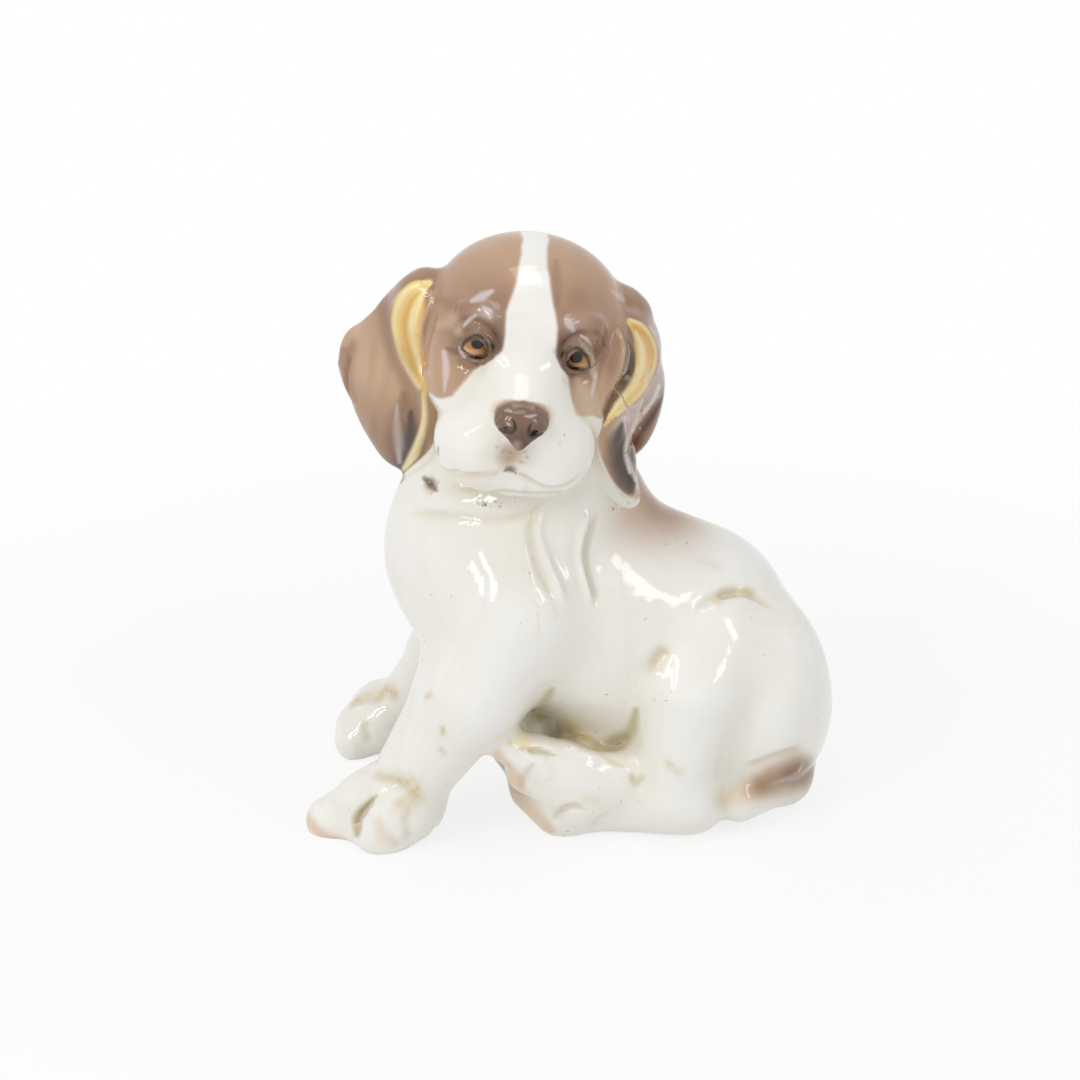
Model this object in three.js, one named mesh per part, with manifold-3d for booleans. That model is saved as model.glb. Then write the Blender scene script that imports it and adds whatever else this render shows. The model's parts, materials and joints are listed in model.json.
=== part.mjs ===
import * as THREE from 'three';
import { MarchingCubes } from 'three/addons/objects/MarchingCubes.js';
import { mergeVertices } from 'three/addons/utils/BufferGeometryUtils.js';
import Module from 'manifold-3d';

// A seated hound puppy in glazed porcelain, 150 mm tall, in millimetres.
// It sits on the table plane z = 0 and faces -Y, so its left side is +X. The sizes below are measured
// from the middle line of its rump, and the finished dog is moved so that its origin is under its middle.
// It is put together from nine slip castings, each trimmed to lie against its neighbour.

// Walls, joints and holes
const castWall = 3.6;           // shell thickness of the hollow castings
const jointGap = 0.3;           // slip joint between two castings
const drainRadius = 5.5;        // drain hole in the flat underside
const drainPlace = [0, 33];     // x and y of the drain hole
const passageRadius = 8;        // passage from the thighs into the body
const neckJointHeight = 100;    // level at which the head is luted to the neck
const hipJointOffset = 13;      // distance of the thigh's flat joint from the middle of the body
const hipJointFront = 20;       // y at which that flat joint begins
const softness = 10;            // how gently the masses of the body run into each other
const drainLength = 6 * castWall;          // length of the bit that opens the drain hole
const passageLength = 4 * hipJointOffset;  // length of the bit that opens the passage

const footprintMiddle = [-6.9, 5.5]; // middle of the footprint, from the middle line of the rump

// Body masses: centre and radii
const rump = { at: [0, 48.5, 23.5], radii: [26, 25, 27] };
const loin = { at: [0, 33.5, 44.5], radii: [26, 29, 29] };
const ribs = { at: [-1, 11, 54], radii: [27, 29, 31] };
const brisket = { at: [-4, -9, 55.5], radii: [22, 21, 21] };
const chest = { at: [-6, -18, 69.5], radii: [24, 21.5, 25] };
const collar = { at: [-4, -4, 83], radii: [25, 27.5, 20] };
const belly = { at: [-8, 18.5, 12], radii: [16, 24, 19] };
const neckFoot = [-4, -4, 87.5];
const neckTop = [-3, -3.5, 111];
const neckRadii = [21, 19];

// Head: where the middle of the skull is, and how it is turned
const skullCentre = [2, -5, 132];
const headTurn = 78;            // degrees round to the dog's left
const headNod = 9;              // degrees nose down
const headTilt = 7;             // degrees, left ear lower

// Head masses in the head's own frame: x to its left, -y forward, z up
const skull = { at: [0, 0, 0], radii: [23.5, 22, 19.5] };
const bridge = { from: [0, -8, -5], to: [0, -26, -14], radii: [13, 11] };
const flew = { at: [8.5, -24, -21.5], radii: [11, 12, 12] };
const cheek = { at: [13, -8, -12], radii: [10, 13, 13] };
const brow = { at: [9.5, -15, 5], radii: [6.5, 5, 4] };
const chin = { at: [0, -22, -30], radii: [10, 10, 5] };
const nose = { at: [0, -34.5, -11], radii: [6.8, 4.5, 5.5] };
const eyeSocket = { at: [11.5, -20.5, 0.5], radii: [4.5, 3.5, 3] };
const headSoftness = 5;
const socketSoftness = 2;

// Ears in the head's frame: flat lumps, width, thickness and height, flared out from the skull
const rightEarFlare = -38;
const rightEarRoot = { at: [-24.5, 2, -1], radii: [7, 8, 9] };
const rightEarTop = { at: [-28.5, 4, -10], radii: [9.5, 3.8, 13], lean: 24 };
const rightEarLeaf = { at: [-31.5, 6.3, -24.5], radii: [15.5, 3.8, 14], lean: 0 };
const rightEarTip = { at: [-28, 3, -33.5], radii: [11, 3.4, 13.5], lean: -9 };
const leftEarFlare = 58;
const leftEarRoot = { at: [21.8, 3, 0.5], radii: [7, 8, 8] };
const leftEarTop = { at: [26.5, 5, -8], radii: [9, 3.8, 11], lean: -10 };
const leftEarLeaf = { at: [28.3, 5, -19], radii: [14.5, 3.8, 14], lean: -3 };
const leftEarFold = { at: [23.8, -8, -26.5], radii: [8, 3.8, 12], lean: 0 };
const leftEarTip = { at: [27, -10, -35.5], radii: [4.2, 3.2, 8.5], lean: -10 };
const earSoftness = 5;

// Left foreleg, stretched forward: shoulder, elbow, wrist, paw and toes
const leftShoulder = [14, -11, 62];
const leftElbow = [16, -22, 42];
const leftWrist = [12, -35, 20];
const leftForelegRadii = [17, 13, 10];
const leftPaw = { at: [9, -39, 9], radii: [11, 11, 10] };
const leftLongToe = { from: [3, -41.5, 7.5], to: [2, -56.5, 2], radii: [9, 6.5] };
const leftShortToe = { from: [12, -39.5, 10], to: [14, -43.5, 5], radii: [8, 6.5] };

// Right foreleg, on the far side
const rightShoulder = [-20, -12, 51.5];
const rightElbow = [-27, -20, 32];
const rightWrist = [-36, -28, 17];
const rightForelegRadii = [14, 10, 8];
const rightPaw = { at: [-41.5, -34.5, 8.5], radii: [9.5, 9.5, 9] };
const rightOuterToe = { from: [-44, -36, 8], to: [-45, -42.5, 4], radii: [6.5, 5.5] };
const rightInnerToe = { from: [-38, -37, 8], to: [-37, -44, 4], radii: [6.5, 5.5] };
const limbSoftness = 6;

// Hind legs: thigh, knee, hock and a foot laid forward on the table
const leftThigh = { at: [12, 51.5, 31.5], radii: [19, 18, 26] };
const leftKneeMass = { at: [17, 38, 45.5], radii: [13, 15, 17] };
const leftKnee = [22, 31, 38.5];
const leftHock = [22, 27, 14];
const leftShinRadii = [13, 10];
const leftHeel = [21.5, 32, 9];
const leftInstep = [15, 10, 9];
const leftFootRadii = [9.5, 9.5];
const leftFootToes = { from: [16, 1, 7], to: [-3, -8, 15], radii: [7, 6] };

const rightThigh = { at: [-12, 53, 28], radii: [19, 18, 26] };
const rightKneeMass = { at: [-17, 40, 36], radii: [13, 15, 17] };
const rightKnee = [-24, 34, 28];
const rightHock = [-25, 26, 9];
const rightShinRadii = [13, 10];
const rightFoot = { from: [-25, 26, 9], to: [-24, 4, 8], radii: [9, 8] };

// Tail: from the rump round to the left, along the table
const tailRoot = [0, 60, 11];
const tailBend = [12, 58.5, 7.5];
const tailTip = [24, 44, 8.5];
const tailRadii = [8, 7, 6];

// Fineness of the skins: edge of one grid cell, and sides of a round hole
const bodyGrain = 7;
const hollowGrain = 8;
const legGrain = 4.4;
const headGrain = 3.8;
const earGrain = 3.4;
const roundSides = 20;
const mostTriangles = 20000;
const spareCells = 4;

// Room in which the masses are looked for: its low and high corners
const searchLow = [-90, -110, -30];
const searchHigh = [90, 120, 190];

const wasm = await Module();
wasm.setup();

// Distance fields: each takes a THREE.Vector3 and gives the distance to a mass, negative inside it

function ball({ at, radii }, turn = new THREE.Euler()) {
	const centre = new THREE.Vector3(...at);
	const size = new THREE.Vector3(...radii);
	const back = new THREE.Quaternion().setFromEuler(turn).invert();
	const q = new THREE.Vector3();
	return (p) => {
		q.copy(p).sub(centre).applyQuaternion(back).divide(size);
		const reach = q.length();
		return (reach * (reach - 1)) / Math.max(q.divide(size).length(), 1e-6);
	};
}

function limb({ from, to, radii }) {
	const line = new THREE.Line3(new THREE.Vector3(...from), new THREE.Vector3(...to));
	const near = new THREE.Vector3();
	return (p) => {
		const along = line.closestPointToPointParameter(p, true);
		line.at(along, near);
		return near.distanceTo(p) - THREE.MathUtils.lerp(radii[0], radii[1], along);
	};
}

function meet(a, b, blend) {
	const h = Math.max(blend - Math.abs(a - b), 0) / blend;
	return Math.min(a, b) - h * h * blend * 0.25;
}

function melt(blend, ...masses) {
	return (p) => masses.reduce((d, mass) => meet(d, mass(p), blend), 1e3);
}

function carve(blend, body, ...tools) {
	return (p) => tools.reduce((d, tool) => -meet(-d, tool(p), blend), body(p));
}

function mirrored({ at, radii }) {
	return { at: [-at[0], at[1], at[2]], radii };
}

function chain(points, radii) {
	return points.slice(1).map((to, i) => limb({ from: points[i], to, radii: [radii[i], radii[i + 1]] }));
}

// The head's frame, and fields written in it
const headFrame = new THREE.Matrix4().makeRotationFromEuler(new THREE.Euler(
	THREE.MathUtils.degToRad(headNod),
	THREE.MathUtils.degToRad(headTilt),
	THREE.MathUtils.degToRad(headTurn),
	'ZXY',
)).setPosition(...skullCentre);
const intoHead = headFrame.clone().invert();

function inHeadFrame(field) {
	const q = new THREE.Vector3();
	return (p) => field(q.copy(p).applyMatrix4(intoHead));
}

function earField(root, lobes, flare) {
	const flat = lobes.map((lobe) => ball(lobe, new THREE.Euler(
		0,
		THREE.MathUtils.degToRad(lobe.lean),
		THREE.MathUtils.degToRad(flare),
		'ZYX',
	)));
	return inHeadFrame(melt(earSoftness, ball(root), ...flat));
}

const neckField = limb({ from: neckFoot, to: neckTop, radii: neckRadii });
const torsoField = melt(
	softness,
	...[rump, loin, ribs, brisket, chest, collar, belly].map((mass) => ball(mass)),
	neckField,
);
const bareHeadField = inHeadFrame(carve(
	socketSoftness,
	melt(
		headSoftness,
		...[skull, cheek, mirrored(cheek), flew, mirrored(flew), brow, mirrored(brow), chin].map((m) => ball(m)),
		limb(bridge),
		ball(nose),
	),
	ball(eyeSocket),
	ball(mirrored(eyeSocket)),
));
const headField = melt(headSoftness, bareHeadField, neckField);
const rightEarField = earField(rightEarRoot, [rightEarTop, rightEarLeaf, rightEarTip], rightEarFlare);
const leftEarLobes = [leftEarTop, leftEarLeaf, leftEarFold, leftEarTip];
const leftEarField = earField(leftEarRoot, leftEarLobes, leftEarFlare);
const leftForelegField = melt(
	limbSoftness,
	...chain([leftShoulder, leftElbow, leftWrist], leftForelegRadii),
	ball(leftPaw),
	limb(leftLongToe),
	limb(leftShortToe),
);
const rightForelegField = melt(
	limbSoftness,
	...chain([rightShoulder, rightElbow, rightWrist], rightForelegRadii),
	ball(rightPaw),
	limb(rightOuterToe),
	limb(rightInnerToe),
);
const leftThighField = melt(limbSoftness, ball(leftThigh), ball(leftKneeMass));
const leftHindField = melt(
	limbSoftness,
	leftThighField,
	...chain([leftKnee, leftHock], leftShinRadii),
	...chain([leftHeel, leftInstep], leftFootRadii),
	limb(leftFootToes),
);
const rightThighField = melt(limbSoftness, ball(rightThigh), ball(rightKneeMass));
const rightHindField = melt(
	limbSoftness,
	rightThighField,
	...chain([rightKnee, rightHock], rightShinRadii),
	limb(rightFoot),
);
const tailField = melt(limbSoftness, ...chain([tailRoot, tailBend, tailTip], tailRadii));

// Solids

function toSolid(geometry) {
	const bare = geometry.index ? geometry.clone() : geometry;
	bare.deleteAttribute('normal');
	if (bare.hasAttribute('uv')) bare.deleteAttribute('uv');
	const shared = mergeVertices(bare, 1e-4);
	return new wasm.Manifold(new wasm.Mesh({
		numProp: 3,
		vertProperties: new Float32Array(shared.attributes.position.array),
		triVerts: new Uint32Array(shared.index.array),
	}));
}

// The room that a field fills, found on a coarse lattice, with space for its swollen skins
const searchStep = 5;
const searchReach = searchStep + castWall + jointGap;
const searchRoom = new THREE.Box3(new THREE.Vector3(...searchLow), new THREE.Vector3(...searchHigh));

function roomOf(field) {
	const room = new THREE.Box3();
	const p = new THREE.Vector3();
	for (p.z = searchRoom.min.z; p.z < searchRoom.max.z; p.z += searchStep) {
		for (p.y = searchRoom.min.y; p.y < searchRoom.max.y; p.y += searchStep) {
			for (p.x = searchRoom.min.x; p.x < searchRoom.max.x; p.x += searchStep) {
				if (field(p) < searchReach) room.expandByPoint(p);
			}
		}
	}
	return room;
}

// The skin of a mass, on a grid of cubes: of the mass swollen or shrunk by a few millimetres where
// swell is given, and with a little spare room round it where its neighbour is to be cut by it
function skin(field, grain, { swell = 0, spare = 0 } = {}) {
	const room = roomOf(field).expandByScalar(grain);
	const span = room.getSize(new THREE.Vector3());
	const cells = THREE.MathUtils.ceilPowerOfTwo(Math.max(span.x, span.y, span.z) / grain + spareCells);
	const corner = room.min.clone().divideScalar(grain).floor().addScalar(-1).multiplyScalar(grain);
	const cubes = new MarchingCubes(cells, undefined, false, false, mostTriangles);
	cubes.isolation = 0;
	const least = grain * 0.12;
	const p = new THREE.Vector3();
	for (let z = 0; z < cells; z++) {
		for (let y = 0; y < cells; y++) {
			for (let x = 0; x < cells; x++) {
				p.set(x, y, z).multiplyScalar(grain).add(corner);
				const depth = room.containsPoint(p) ? swell - field(p) : -grain;
				// no crossing comes close to a corner of the grid, so that no face is a sliver
				cubes.setCell(x, y, z, Math.abs(depth) > least ? depth : (depth < 0 ? -least : least));
			}
		}
	}
	cubes.update();
	const used = cubes.geometry.attributes.position.array.slice(0, cubes.count * 3);
	const geometry = new THREE.BufferGeometry();
	geometry.setAttribute('position', new THREE.BufferAttribute(used, 3));
	const half = (cells / 2) * grain;
	geometry.scale(half, half, half);
	geometry.translate(corner.x + half, corner.y + half, corner.z + half);
	if (spare > 0) pushOut(geometry.attributes.position, field, spare);
	return toSolid(geometry);
}

// Moves a skin's points straight out of its field, which leaves the same even gap everywhere
function pushOut(points, field, distance) {
	const p = new THREE.Vector3();
	const probe = new THREE.Vector3();
	const slope = new THREE.Vector3();
	const reach = 0.01;
	for (let i = 0; i < points.count; i++) {
		p.fromBufferAttribute(points, i);
		for (let k = 0; k < 3; k++) {
			const ahead = field(probe.copy(p).setComponent(k, p.getComponent(k) + reach));
			const behind = field(probe.copy(p).setComponent(k, p.getComponent(k) - reach));
			slope.setComponent(k, ahead - behind);
		}
		p.addScaledVector(slope.normalize(), distance);
		points.setXYZ(i, p.x, p.y, p.z);
	}
}

function block(low, high) {
	const size = high.map((h, i) => h - low[i]);
	const geometry = new THREE.BoxGeometry(...size);
	geometry.translate(...low.map((l, i) => l + size[i] / 2));
	return toSolid(geometry);
}

function rod(radius, length, at, axis) {
	const geometry = new THREE.CylinderGeometry(radius, radius, length, roundSides);
	if (axis === 'x') geometry.rotateZ(Math.PI / 2);
	if (axis === 'z') geometry.rotateX(Math.PI / 2);
	geometry.translate(...at);
	return toSolid(geometry);
}

const far = 300;
const table = block([-far, -far, -far], [far, far, 0]);
const onTable = (solid) => solid.subtract(table);
const aboveNeck = (level) => block([-far, -far, level], [far, far, far]);

// Only the largest body is kept, should a cut leave a crumb behind
function oneBody(solid) {
	const bodies = solid.decompose();
	bodies.sort((a, b) => b.volume() - a.volume());
	return bodies[0];
}

// The thighs end in a flat joint towards the middle of the body, behind the forward-lying feet
function innerSide(side, gap) {
	const front = hipJointFront + gap;
	const inner = hipJointOffset - gap;
	if (side > 0) return block([-far, front, -far], [inner, far, far]);
	return block([-inner, front, -far], [far, far, far]);
}

// Hind legs: hollow in the thigh, open at the flat joint
const leftHindLeg = onTable(skin(leftHindField, legGrain))
	.subtract(innerSide(1, 0))
	.subtract(skin(leftThighField, hollowGrain, { swell: -castWall }));
const rightHindLeg = onTable(skin(rightHindField, legGrain))
	.subtract(innerSide(-1, 0))
	.subtract(skin(rightThighField, hollowGrain, { swell: -castWall }));

// Seats for the hind legs in the body, and the body's wall round each seat
const leftSeat = skin(leftHindField, legGrain, { spare: jointGap }).subtract(innerSide(1, jointGap));
const rightSeat = skin(rightHindField, legGrain, { spare: jointGap }).subtract(innerSide(-1, jointGap));
const seatWall = jointGap + castWall;
const leftSeatWall = skin(leftHindField, legGrain, { swell: seatWall }).subtract(innerSide(1, seatWall));
const rightSeatWall = skin(rightHindField, legGrain, { swell: seatWall }).subtract(innerSide(-1, seatWall));

// Torso: hollow, open at the neck, drained through its underside
const torsoHollow = skin(torsoField, hollowGrain, { swell: -castWall })
	.subtract(block([-far, -far, -far], [far, far, castWall]))
	.subtract(leftSeatWall)
	.subtract(rightSeatWall);
const drain = rod(drainRadius, drainLength, [...drainPlace, castWall], 'z');
const passage = rod(passageRadius, passageLength, [0, leftThigh.at[1], leftThigh.at[2]], 'x');
const torso = onTable(skin(torsoField, bodyGrain))
	.subtract(aboveNeck(neckJointHeight))
	.subtract(leftSeat)
	.subtract(rightSeat)
	.subtract(torsoHollow)
	.subtract(drain)
	.subtract(passage);

// The other castings are trimmed to the body, with the joint's gap
const torsoRoom = skin(torsoField, bodyGrain, { spare: jointGap })
	.subtract(aboveNeck(neckJointHeight + jointGap));
const leftForeleg = onTable(skin(leftForelegField, legGrain)).subtract(torsoRoom);
const rightForeleg = onTable(skin(rightForelegField, legGrain)).subtract(torsoRoom);
const tail = onTable(skin(tailField, earGrain))
	.subtract(torsoRoom)
	.subtract(skin(leftHindField, legGrain, { spare: jointGap }));

// Head: hollow, open at the neck, with an ear laid against each side
const head = skin(headField, headGrain)
	.subtract(torsoRoom)
	.subtract(skin(headField, hollowGrain, { swell: -castWall }));
const headRoom = skin(headField, headGrain, { spare: jointGap });
const rightEar = skin(rightEarField, earGrain).subtract(headRoom).subtract(torsoRoom);
const leftEar = skin(leftEarField, earGrain).subtract(headRoom).subtract(torsoRoom);

// Glazes
const glaze = { roughness: 0.12, metalness: 0 };
const white = new THREE.MeshStandardMaterial({ color: 0xecebe7, ...glaze });
const brown = new THREE.MeshStandardMaterial({ color: 0x977865, ...glaze });

function piece(name, solid, material) {
	const mesh = oneBody(solid).getMesh();
	const geometry = new THREE.BufferGeometry();
	const places = new Float32Array(mesh.numVert * 3);
	for (let i = 0; i < mesh.numVert; i++) {
		for (let k = 0; k < 3; k++) places[3 * i + k] = mesh.vertProperties[mesh.numProp * i + k];
	}
	geometry.setAttribute('position', new THREE.BufferAttribute(places, 3));
	geometry.setIndex(new THREE.BufferAttribute(new Uint32Array(mesh.triVerts), 1));
	geometry.computeVertexNormals();
	const node = new THREE.Mesh(geometry, material.clone());
	node.name = name;
	return node;
}

const dog = new THREE.Group();
dog.add(
	piece('torso', torso, white),
	piece('head', head, white),
	piece('right_ear', rightEar, brown),
	piece('left_ear', leftEar, brown),
	piece('left_foreleg', leftForeleg, white),
	piece('right_foreleg', rightForeleg, white),
	piece('left_hind_leg', leftHindLeg, white),
	piece('right_hind_leg', rightHindLeg, white),
	piece('tail', tail, white),
);

dog.position.set(-footprintMiddle[0], -footprintMiddle[1], 0);

export default dog;
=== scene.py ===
"""A seated hound puppy in glazed porcelain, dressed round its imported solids.

The figure is modelled in millimetres from the middle line of its rump, as its solids are, facing -Y with
its left side at +X. Each casting is put down as overlapping balls and rolls of clay, fused by a voxel
remesh, eased onto one soft form, tooled along strokes, and cut free of its neighbours.
"""
import bpy
import json
import numpy as np
from math import radians
from mathutils import Matrix, Vector

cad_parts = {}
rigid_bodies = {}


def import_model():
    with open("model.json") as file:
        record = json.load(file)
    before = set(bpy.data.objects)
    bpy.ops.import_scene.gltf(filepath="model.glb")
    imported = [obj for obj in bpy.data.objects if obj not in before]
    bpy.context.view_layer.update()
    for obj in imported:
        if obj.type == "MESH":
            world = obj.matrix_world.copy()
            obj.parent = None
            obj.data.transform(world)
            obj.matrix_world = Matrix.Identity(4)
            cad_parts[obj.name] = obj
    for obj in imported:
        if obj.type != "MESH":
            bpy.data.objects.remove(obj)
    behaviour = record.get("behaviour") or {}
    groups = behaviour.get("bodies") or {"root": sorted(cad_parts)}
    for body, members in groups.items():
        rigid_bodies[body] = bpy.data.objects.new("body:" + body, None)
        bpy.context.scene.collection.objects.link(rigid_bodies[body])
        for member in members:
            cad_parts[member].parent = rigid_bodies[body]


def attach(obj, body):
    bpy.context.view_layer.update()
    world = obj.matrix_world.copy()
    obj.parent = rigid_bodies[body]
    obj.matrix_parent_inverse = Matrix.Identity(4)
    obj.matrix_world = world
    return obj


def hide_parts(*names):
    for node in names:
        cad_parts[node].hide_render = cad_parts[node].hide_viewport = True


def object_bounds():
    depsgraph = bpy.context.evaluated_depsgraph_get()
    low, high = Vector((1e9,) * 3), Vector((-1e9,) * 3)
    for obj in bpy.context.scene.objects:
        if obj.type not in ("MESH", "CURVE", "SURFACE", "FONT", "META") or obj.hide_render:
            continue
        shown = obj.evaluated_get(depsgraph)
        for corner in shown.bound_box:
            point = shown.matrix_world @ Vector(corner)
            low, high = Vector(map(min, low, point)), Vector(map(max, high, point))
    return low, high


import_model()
cad_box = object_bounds()

MM = 0.001
HOME = np.array([6.9, -5.5, 0.0])   # from the middle line of the rump to the part's own origin

# The photograph's camera

PICTURE = 1080
SENSOR = 36.0     # mm across
AIM = np.array([0.0, 4.0, 72.0])    # the point of the figure that the lens is aimed at
AIM_IN_PICTURE = (563, 541)
DISTANCE = 760.0
PIXELS_PER_MM = 4.05
AZIMUTH, ELEVATION = radians(78), radians(23)
BACK = np.array([np.sin(AZIMUTH) * np.cos(ELEVATION), -np.cos(AZIMUTH) * np.cos(ELEVATION),
                 np.sin(ELEVATION)])
RIGHT = np.array([np.cos(AZIMUTH), np.sin(AZIMUTH), 0.0])
UP = np.cross(BACK, RIGHT)
LENS = AIM + DISTANCE * BACK
FOCAL = PIXELS_PER_MM * DISTANCE
NEAR_REACH, FAR_REACH = DISTANCE - 110.0, DISTANCE + 60    # the figure is between these, from the lens


def sight(x, y):
    """The direction in which the lens sees a point of the picture."""
    ray = -BACK + RIGHT * (x - AIM_IN_PICTURE[0]) / FOCAL + UP * (AIM_IN_PICTURE[1] - y) / FOCAL
    return ray / np.linalg.norm(ray)


def in_picture(p):
    """Where points of the figure appear in the picture."""
    off = p - LENS
    away = -(off @ BACK)
    return np.stack([AIM_IN_PICTURE[0] + FOCAL * (off @ RIGHT) / away,
                     AIM_IN_PICTURE[1] - FOCAL * (off @ UP) / away], 1)


def seen(points, form):
    """Where points of the picture lie on a form."""
    rays = np.array([sight(x, y) for x, y in points])
    reach = np.full(len(rays), NEAR_REACH)
    for _ in range(60):
        step = np.clip(form(LENS + rays * reach[:, None]), -2, 40) * 0.85
        reach = np.minimum(reach + step, FAR_REACH)
        if np.abs(step).max() < 0.01:
            break
    return LENS + rays * reach[:, None]


def length(v):
    return np.sqrt(np.einsum("ij,ij->i", v, v))


# Clay: lumps and how they melt together


class Ball:
    """A ball or egg of clay: centre, three radii, and how it is turned."""

    def __init__(self, at, radii, turn=None, place=None):
        spin = Matrix(turn) if turn is not None else Matrix.Identity(3)
        if place is not None:
            at = place @ Vector(at)
            spin = place.to_3x3() @ spin
        self.at = np.array(at, float)
        self.radii = np.array(radii, float)
        self.spin = np.array(spin, float)

    def __call__(self, p):
        q = (p - self.at) @ self.spin / self.radii
        reach = length(q)
        return reach * (reach - 1) / np.maximum(length(q / self.radii), 1e-6)

    def room(self):
        reach = max(self.radii)
        return self.at - reach, self.at + reach

    def put(self):
        bpy.ops.mesh.primitive_uv_sphere_add(segments=40, ring_count=20, location=self.at,
                                             rotation=Matrix(self.spin).to_euler(), scale=self.radii)


class Roll:
    """A roll of clay between two points, with a radius at each end."""

    def __init__(self, start, end, radii, place=None):
        if place is not None:
            start, end = place @ Vector(start), place @ Vector(end)
        self.start, self.end = np.array(start, float), np.array(end, float)
        self.radii = radii

    def radius(self, along):
        return self.radii[0] + (self.radii[1] - self.radii[0]) * along

    def __call__(self, p):
        line = self.end - self.start
        along = np.clip((p - self.start) @ line / (line @ line), 0, 1)
        return length(p - self.start - along[:, None] * line) - self.radius(along)

    def room(self):
        reach = max(self.radii)
        return np.minimum(self.start, self.end) - reach, np.maximum(self.start, self.end) + reach

    def put(self):
        for along in np.linspace(0, 1, 7):
            at = self.start + (self.end - self.start) * along
            bpy.ops.mesh.primitive_uv_sphere_add(segments=32, ring_count=16, location=at,
                                                 radius=self.radius(along))


def meet(a, b, blend):
    """The nearer of two forms, with the crease between them filled."""
    h = np.maximum(blend - np.abs(a - b), 0) / blend
    return np.minimum(a, b) - h * h * blend * 0.25


def outside(p, room):
    """How far points are outside a room, along the axis on which they are farthest out."""
    far = np.full(len(p), -1e3)
    for k in range(3):
        far = np.maximum(far, np.maximum(room[0][k] - p[:, k], p[:, k] - room[1][k]))
    return far


def melt(blend, *lumps):
    """Lumps run together. Far from a lump, only the distance to the room that it fills is used."""
    rooms = [lump.room() for lump in lumps]
    whole = np.min([room[0] for room in rooms], 0), np.max([room[1] for room in rooms], 0)
    margin, spare = 12.0, 2.0

    def form(p):
        depth = outside(p, whole) + spare
        near = depth < margin + spare
        q = p[near]
        close = np.full(len(q), 1e3)
        for lump, room in zip(lumps, rooms):
            gap = outside(q, room)
            here = gap < blend + 3
            far = ~here
            close[far] = np.minimum(close[far], gap[far])
            close[here] = meet(close[here], lump(q[here]), blend)
        depth[near] = close
        return depth
    return form


def carve(blend, body, *bits):
    """A form with others cut out of it."""
    def form(p):
        depth = body(p)
        for bit in bits:
            depth = -meet(-depth, bit(p), blend)
        return depth
    return form


def rolls(points, radii, place=None):
    """One roll after another through points, with a radius at each."""
    return [Roll(points[i], points[i + 1], (radii[i], radii[i + 1]), place) for i in range(len(points) - 1)]


# The figure's lumps

HEAD = (Matrix.Translation((2, -5, 132)) @ Matrix.Rotation(radians(78), 4, "Z")
        @ Matrix.Rotation(radians(9), 4, "X") @ Matrix.Rotation(radians(7), 4, "Y"))

body_lumps = [
    Ball((0, 48.5, 23.5), (26, 25, 27)),
    Ball((0, 33.5, 44.5), (26, 29, 29)),
    Ball((-1, 11, 54), (27, 29, 31)),
    Ball((-4, -9, 55.5), (22, 21, 21)),
    Ball((-6, -18, 69.5), (24, 21.5, 25)),
    Ball((-4, -4, 83), (25, 27.5, 20)),
    Ball((-8, 18.5, 12), (16, 24, 19)),
    Ball((1.5, 13, 21), (14, 17, 17)),
]
neck_lump = Roll((-4, -4, 87.5), (-3, -3.5, 111), (21, 19))


def both(at, radii):
    """A ball on each side of the head."""
    return [Ball((side * at[0], at[1], at[2]), radii, place=HEAD) for side in (1, -1)]


skull_lumps = [
    Ball((0, 0, 0), (23.5, 22, 19.5), place=HEAD),
    *both((13, -8, -12), (10, 13, 13)),
    Ball((8.0, -24, -21.1), (10.8, 12, 11.3), place=HEAD),
    Ball((-8.5, -24, -21.1), (11, 12, 11.3), place=HEAD),
    *both((9.5, -15, 5), (6.5, 5, 4)),
    Ball((0, -22, -29), (10, 10, 4.6), place=HEAD),
    Roll((0, -8, -5), (0, -26, -14), (13, 11), HEAD),
]
nose_lumps = [
    Ball((0, -34.8, -9.2), (6.3, 4.2, 4.0), place=HEAD),
    Ball((0, -35.3, -12.6), (3.4, 3.3, 3.9), place=HEAD),
]
nostrils = both((3.0, -38.6, -9.9), (1.1, 1.5, 0.9)) + both((4.5, -37.6, -10.6), (1.3, 1.3, 0.6))
sockets = both((12.1, -20.9, 1.0), (3.7, 3.6, 3.5))
eyeballs = both((11.8, -17.2, 1.0), (3.8, 3.8, 3.8))


def both_rolls(path, radii):
    """A chain of rolls on each side of the head."""
    laid = []
    for side in (1, -1):
        laid += rolls([(side * x, y, z) for x, y, z in path], radii, HEAD)
    return laid


eyelids = (
    both_rolls([(8.5, -22.0, 0.3), (9.7, -21.6, 3.4), (12.0, -20.4, 4.6), (14.2, -18.9, 2.8),
                (15.6, -17.7, -1.0)], (0.6, 0.9, 1.0, 1.0, 0.7))
    + both_rolls([(8.5, -22.1, -0.2), (10.2, -21.8, -1.9), (12.4, -20.8, -2.4), (14.3, -19.2, -2.3),
                  (15.6, -17.8, -1.3)], (0.5, 0.5, 0.55, 0.6, 0.6))
)


def ear_lobe(at, radii, lean, flare):
    """A flat egg of an ear, leant outwards and flared to the back, in degrees."""
    turn = Matrix.Rotation(radians(flare), 3, "Z") @ Matrix.Rotation(radians(lean), 3, "Y")
    return Ball(at, radii, turn, HEAD)


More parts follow.
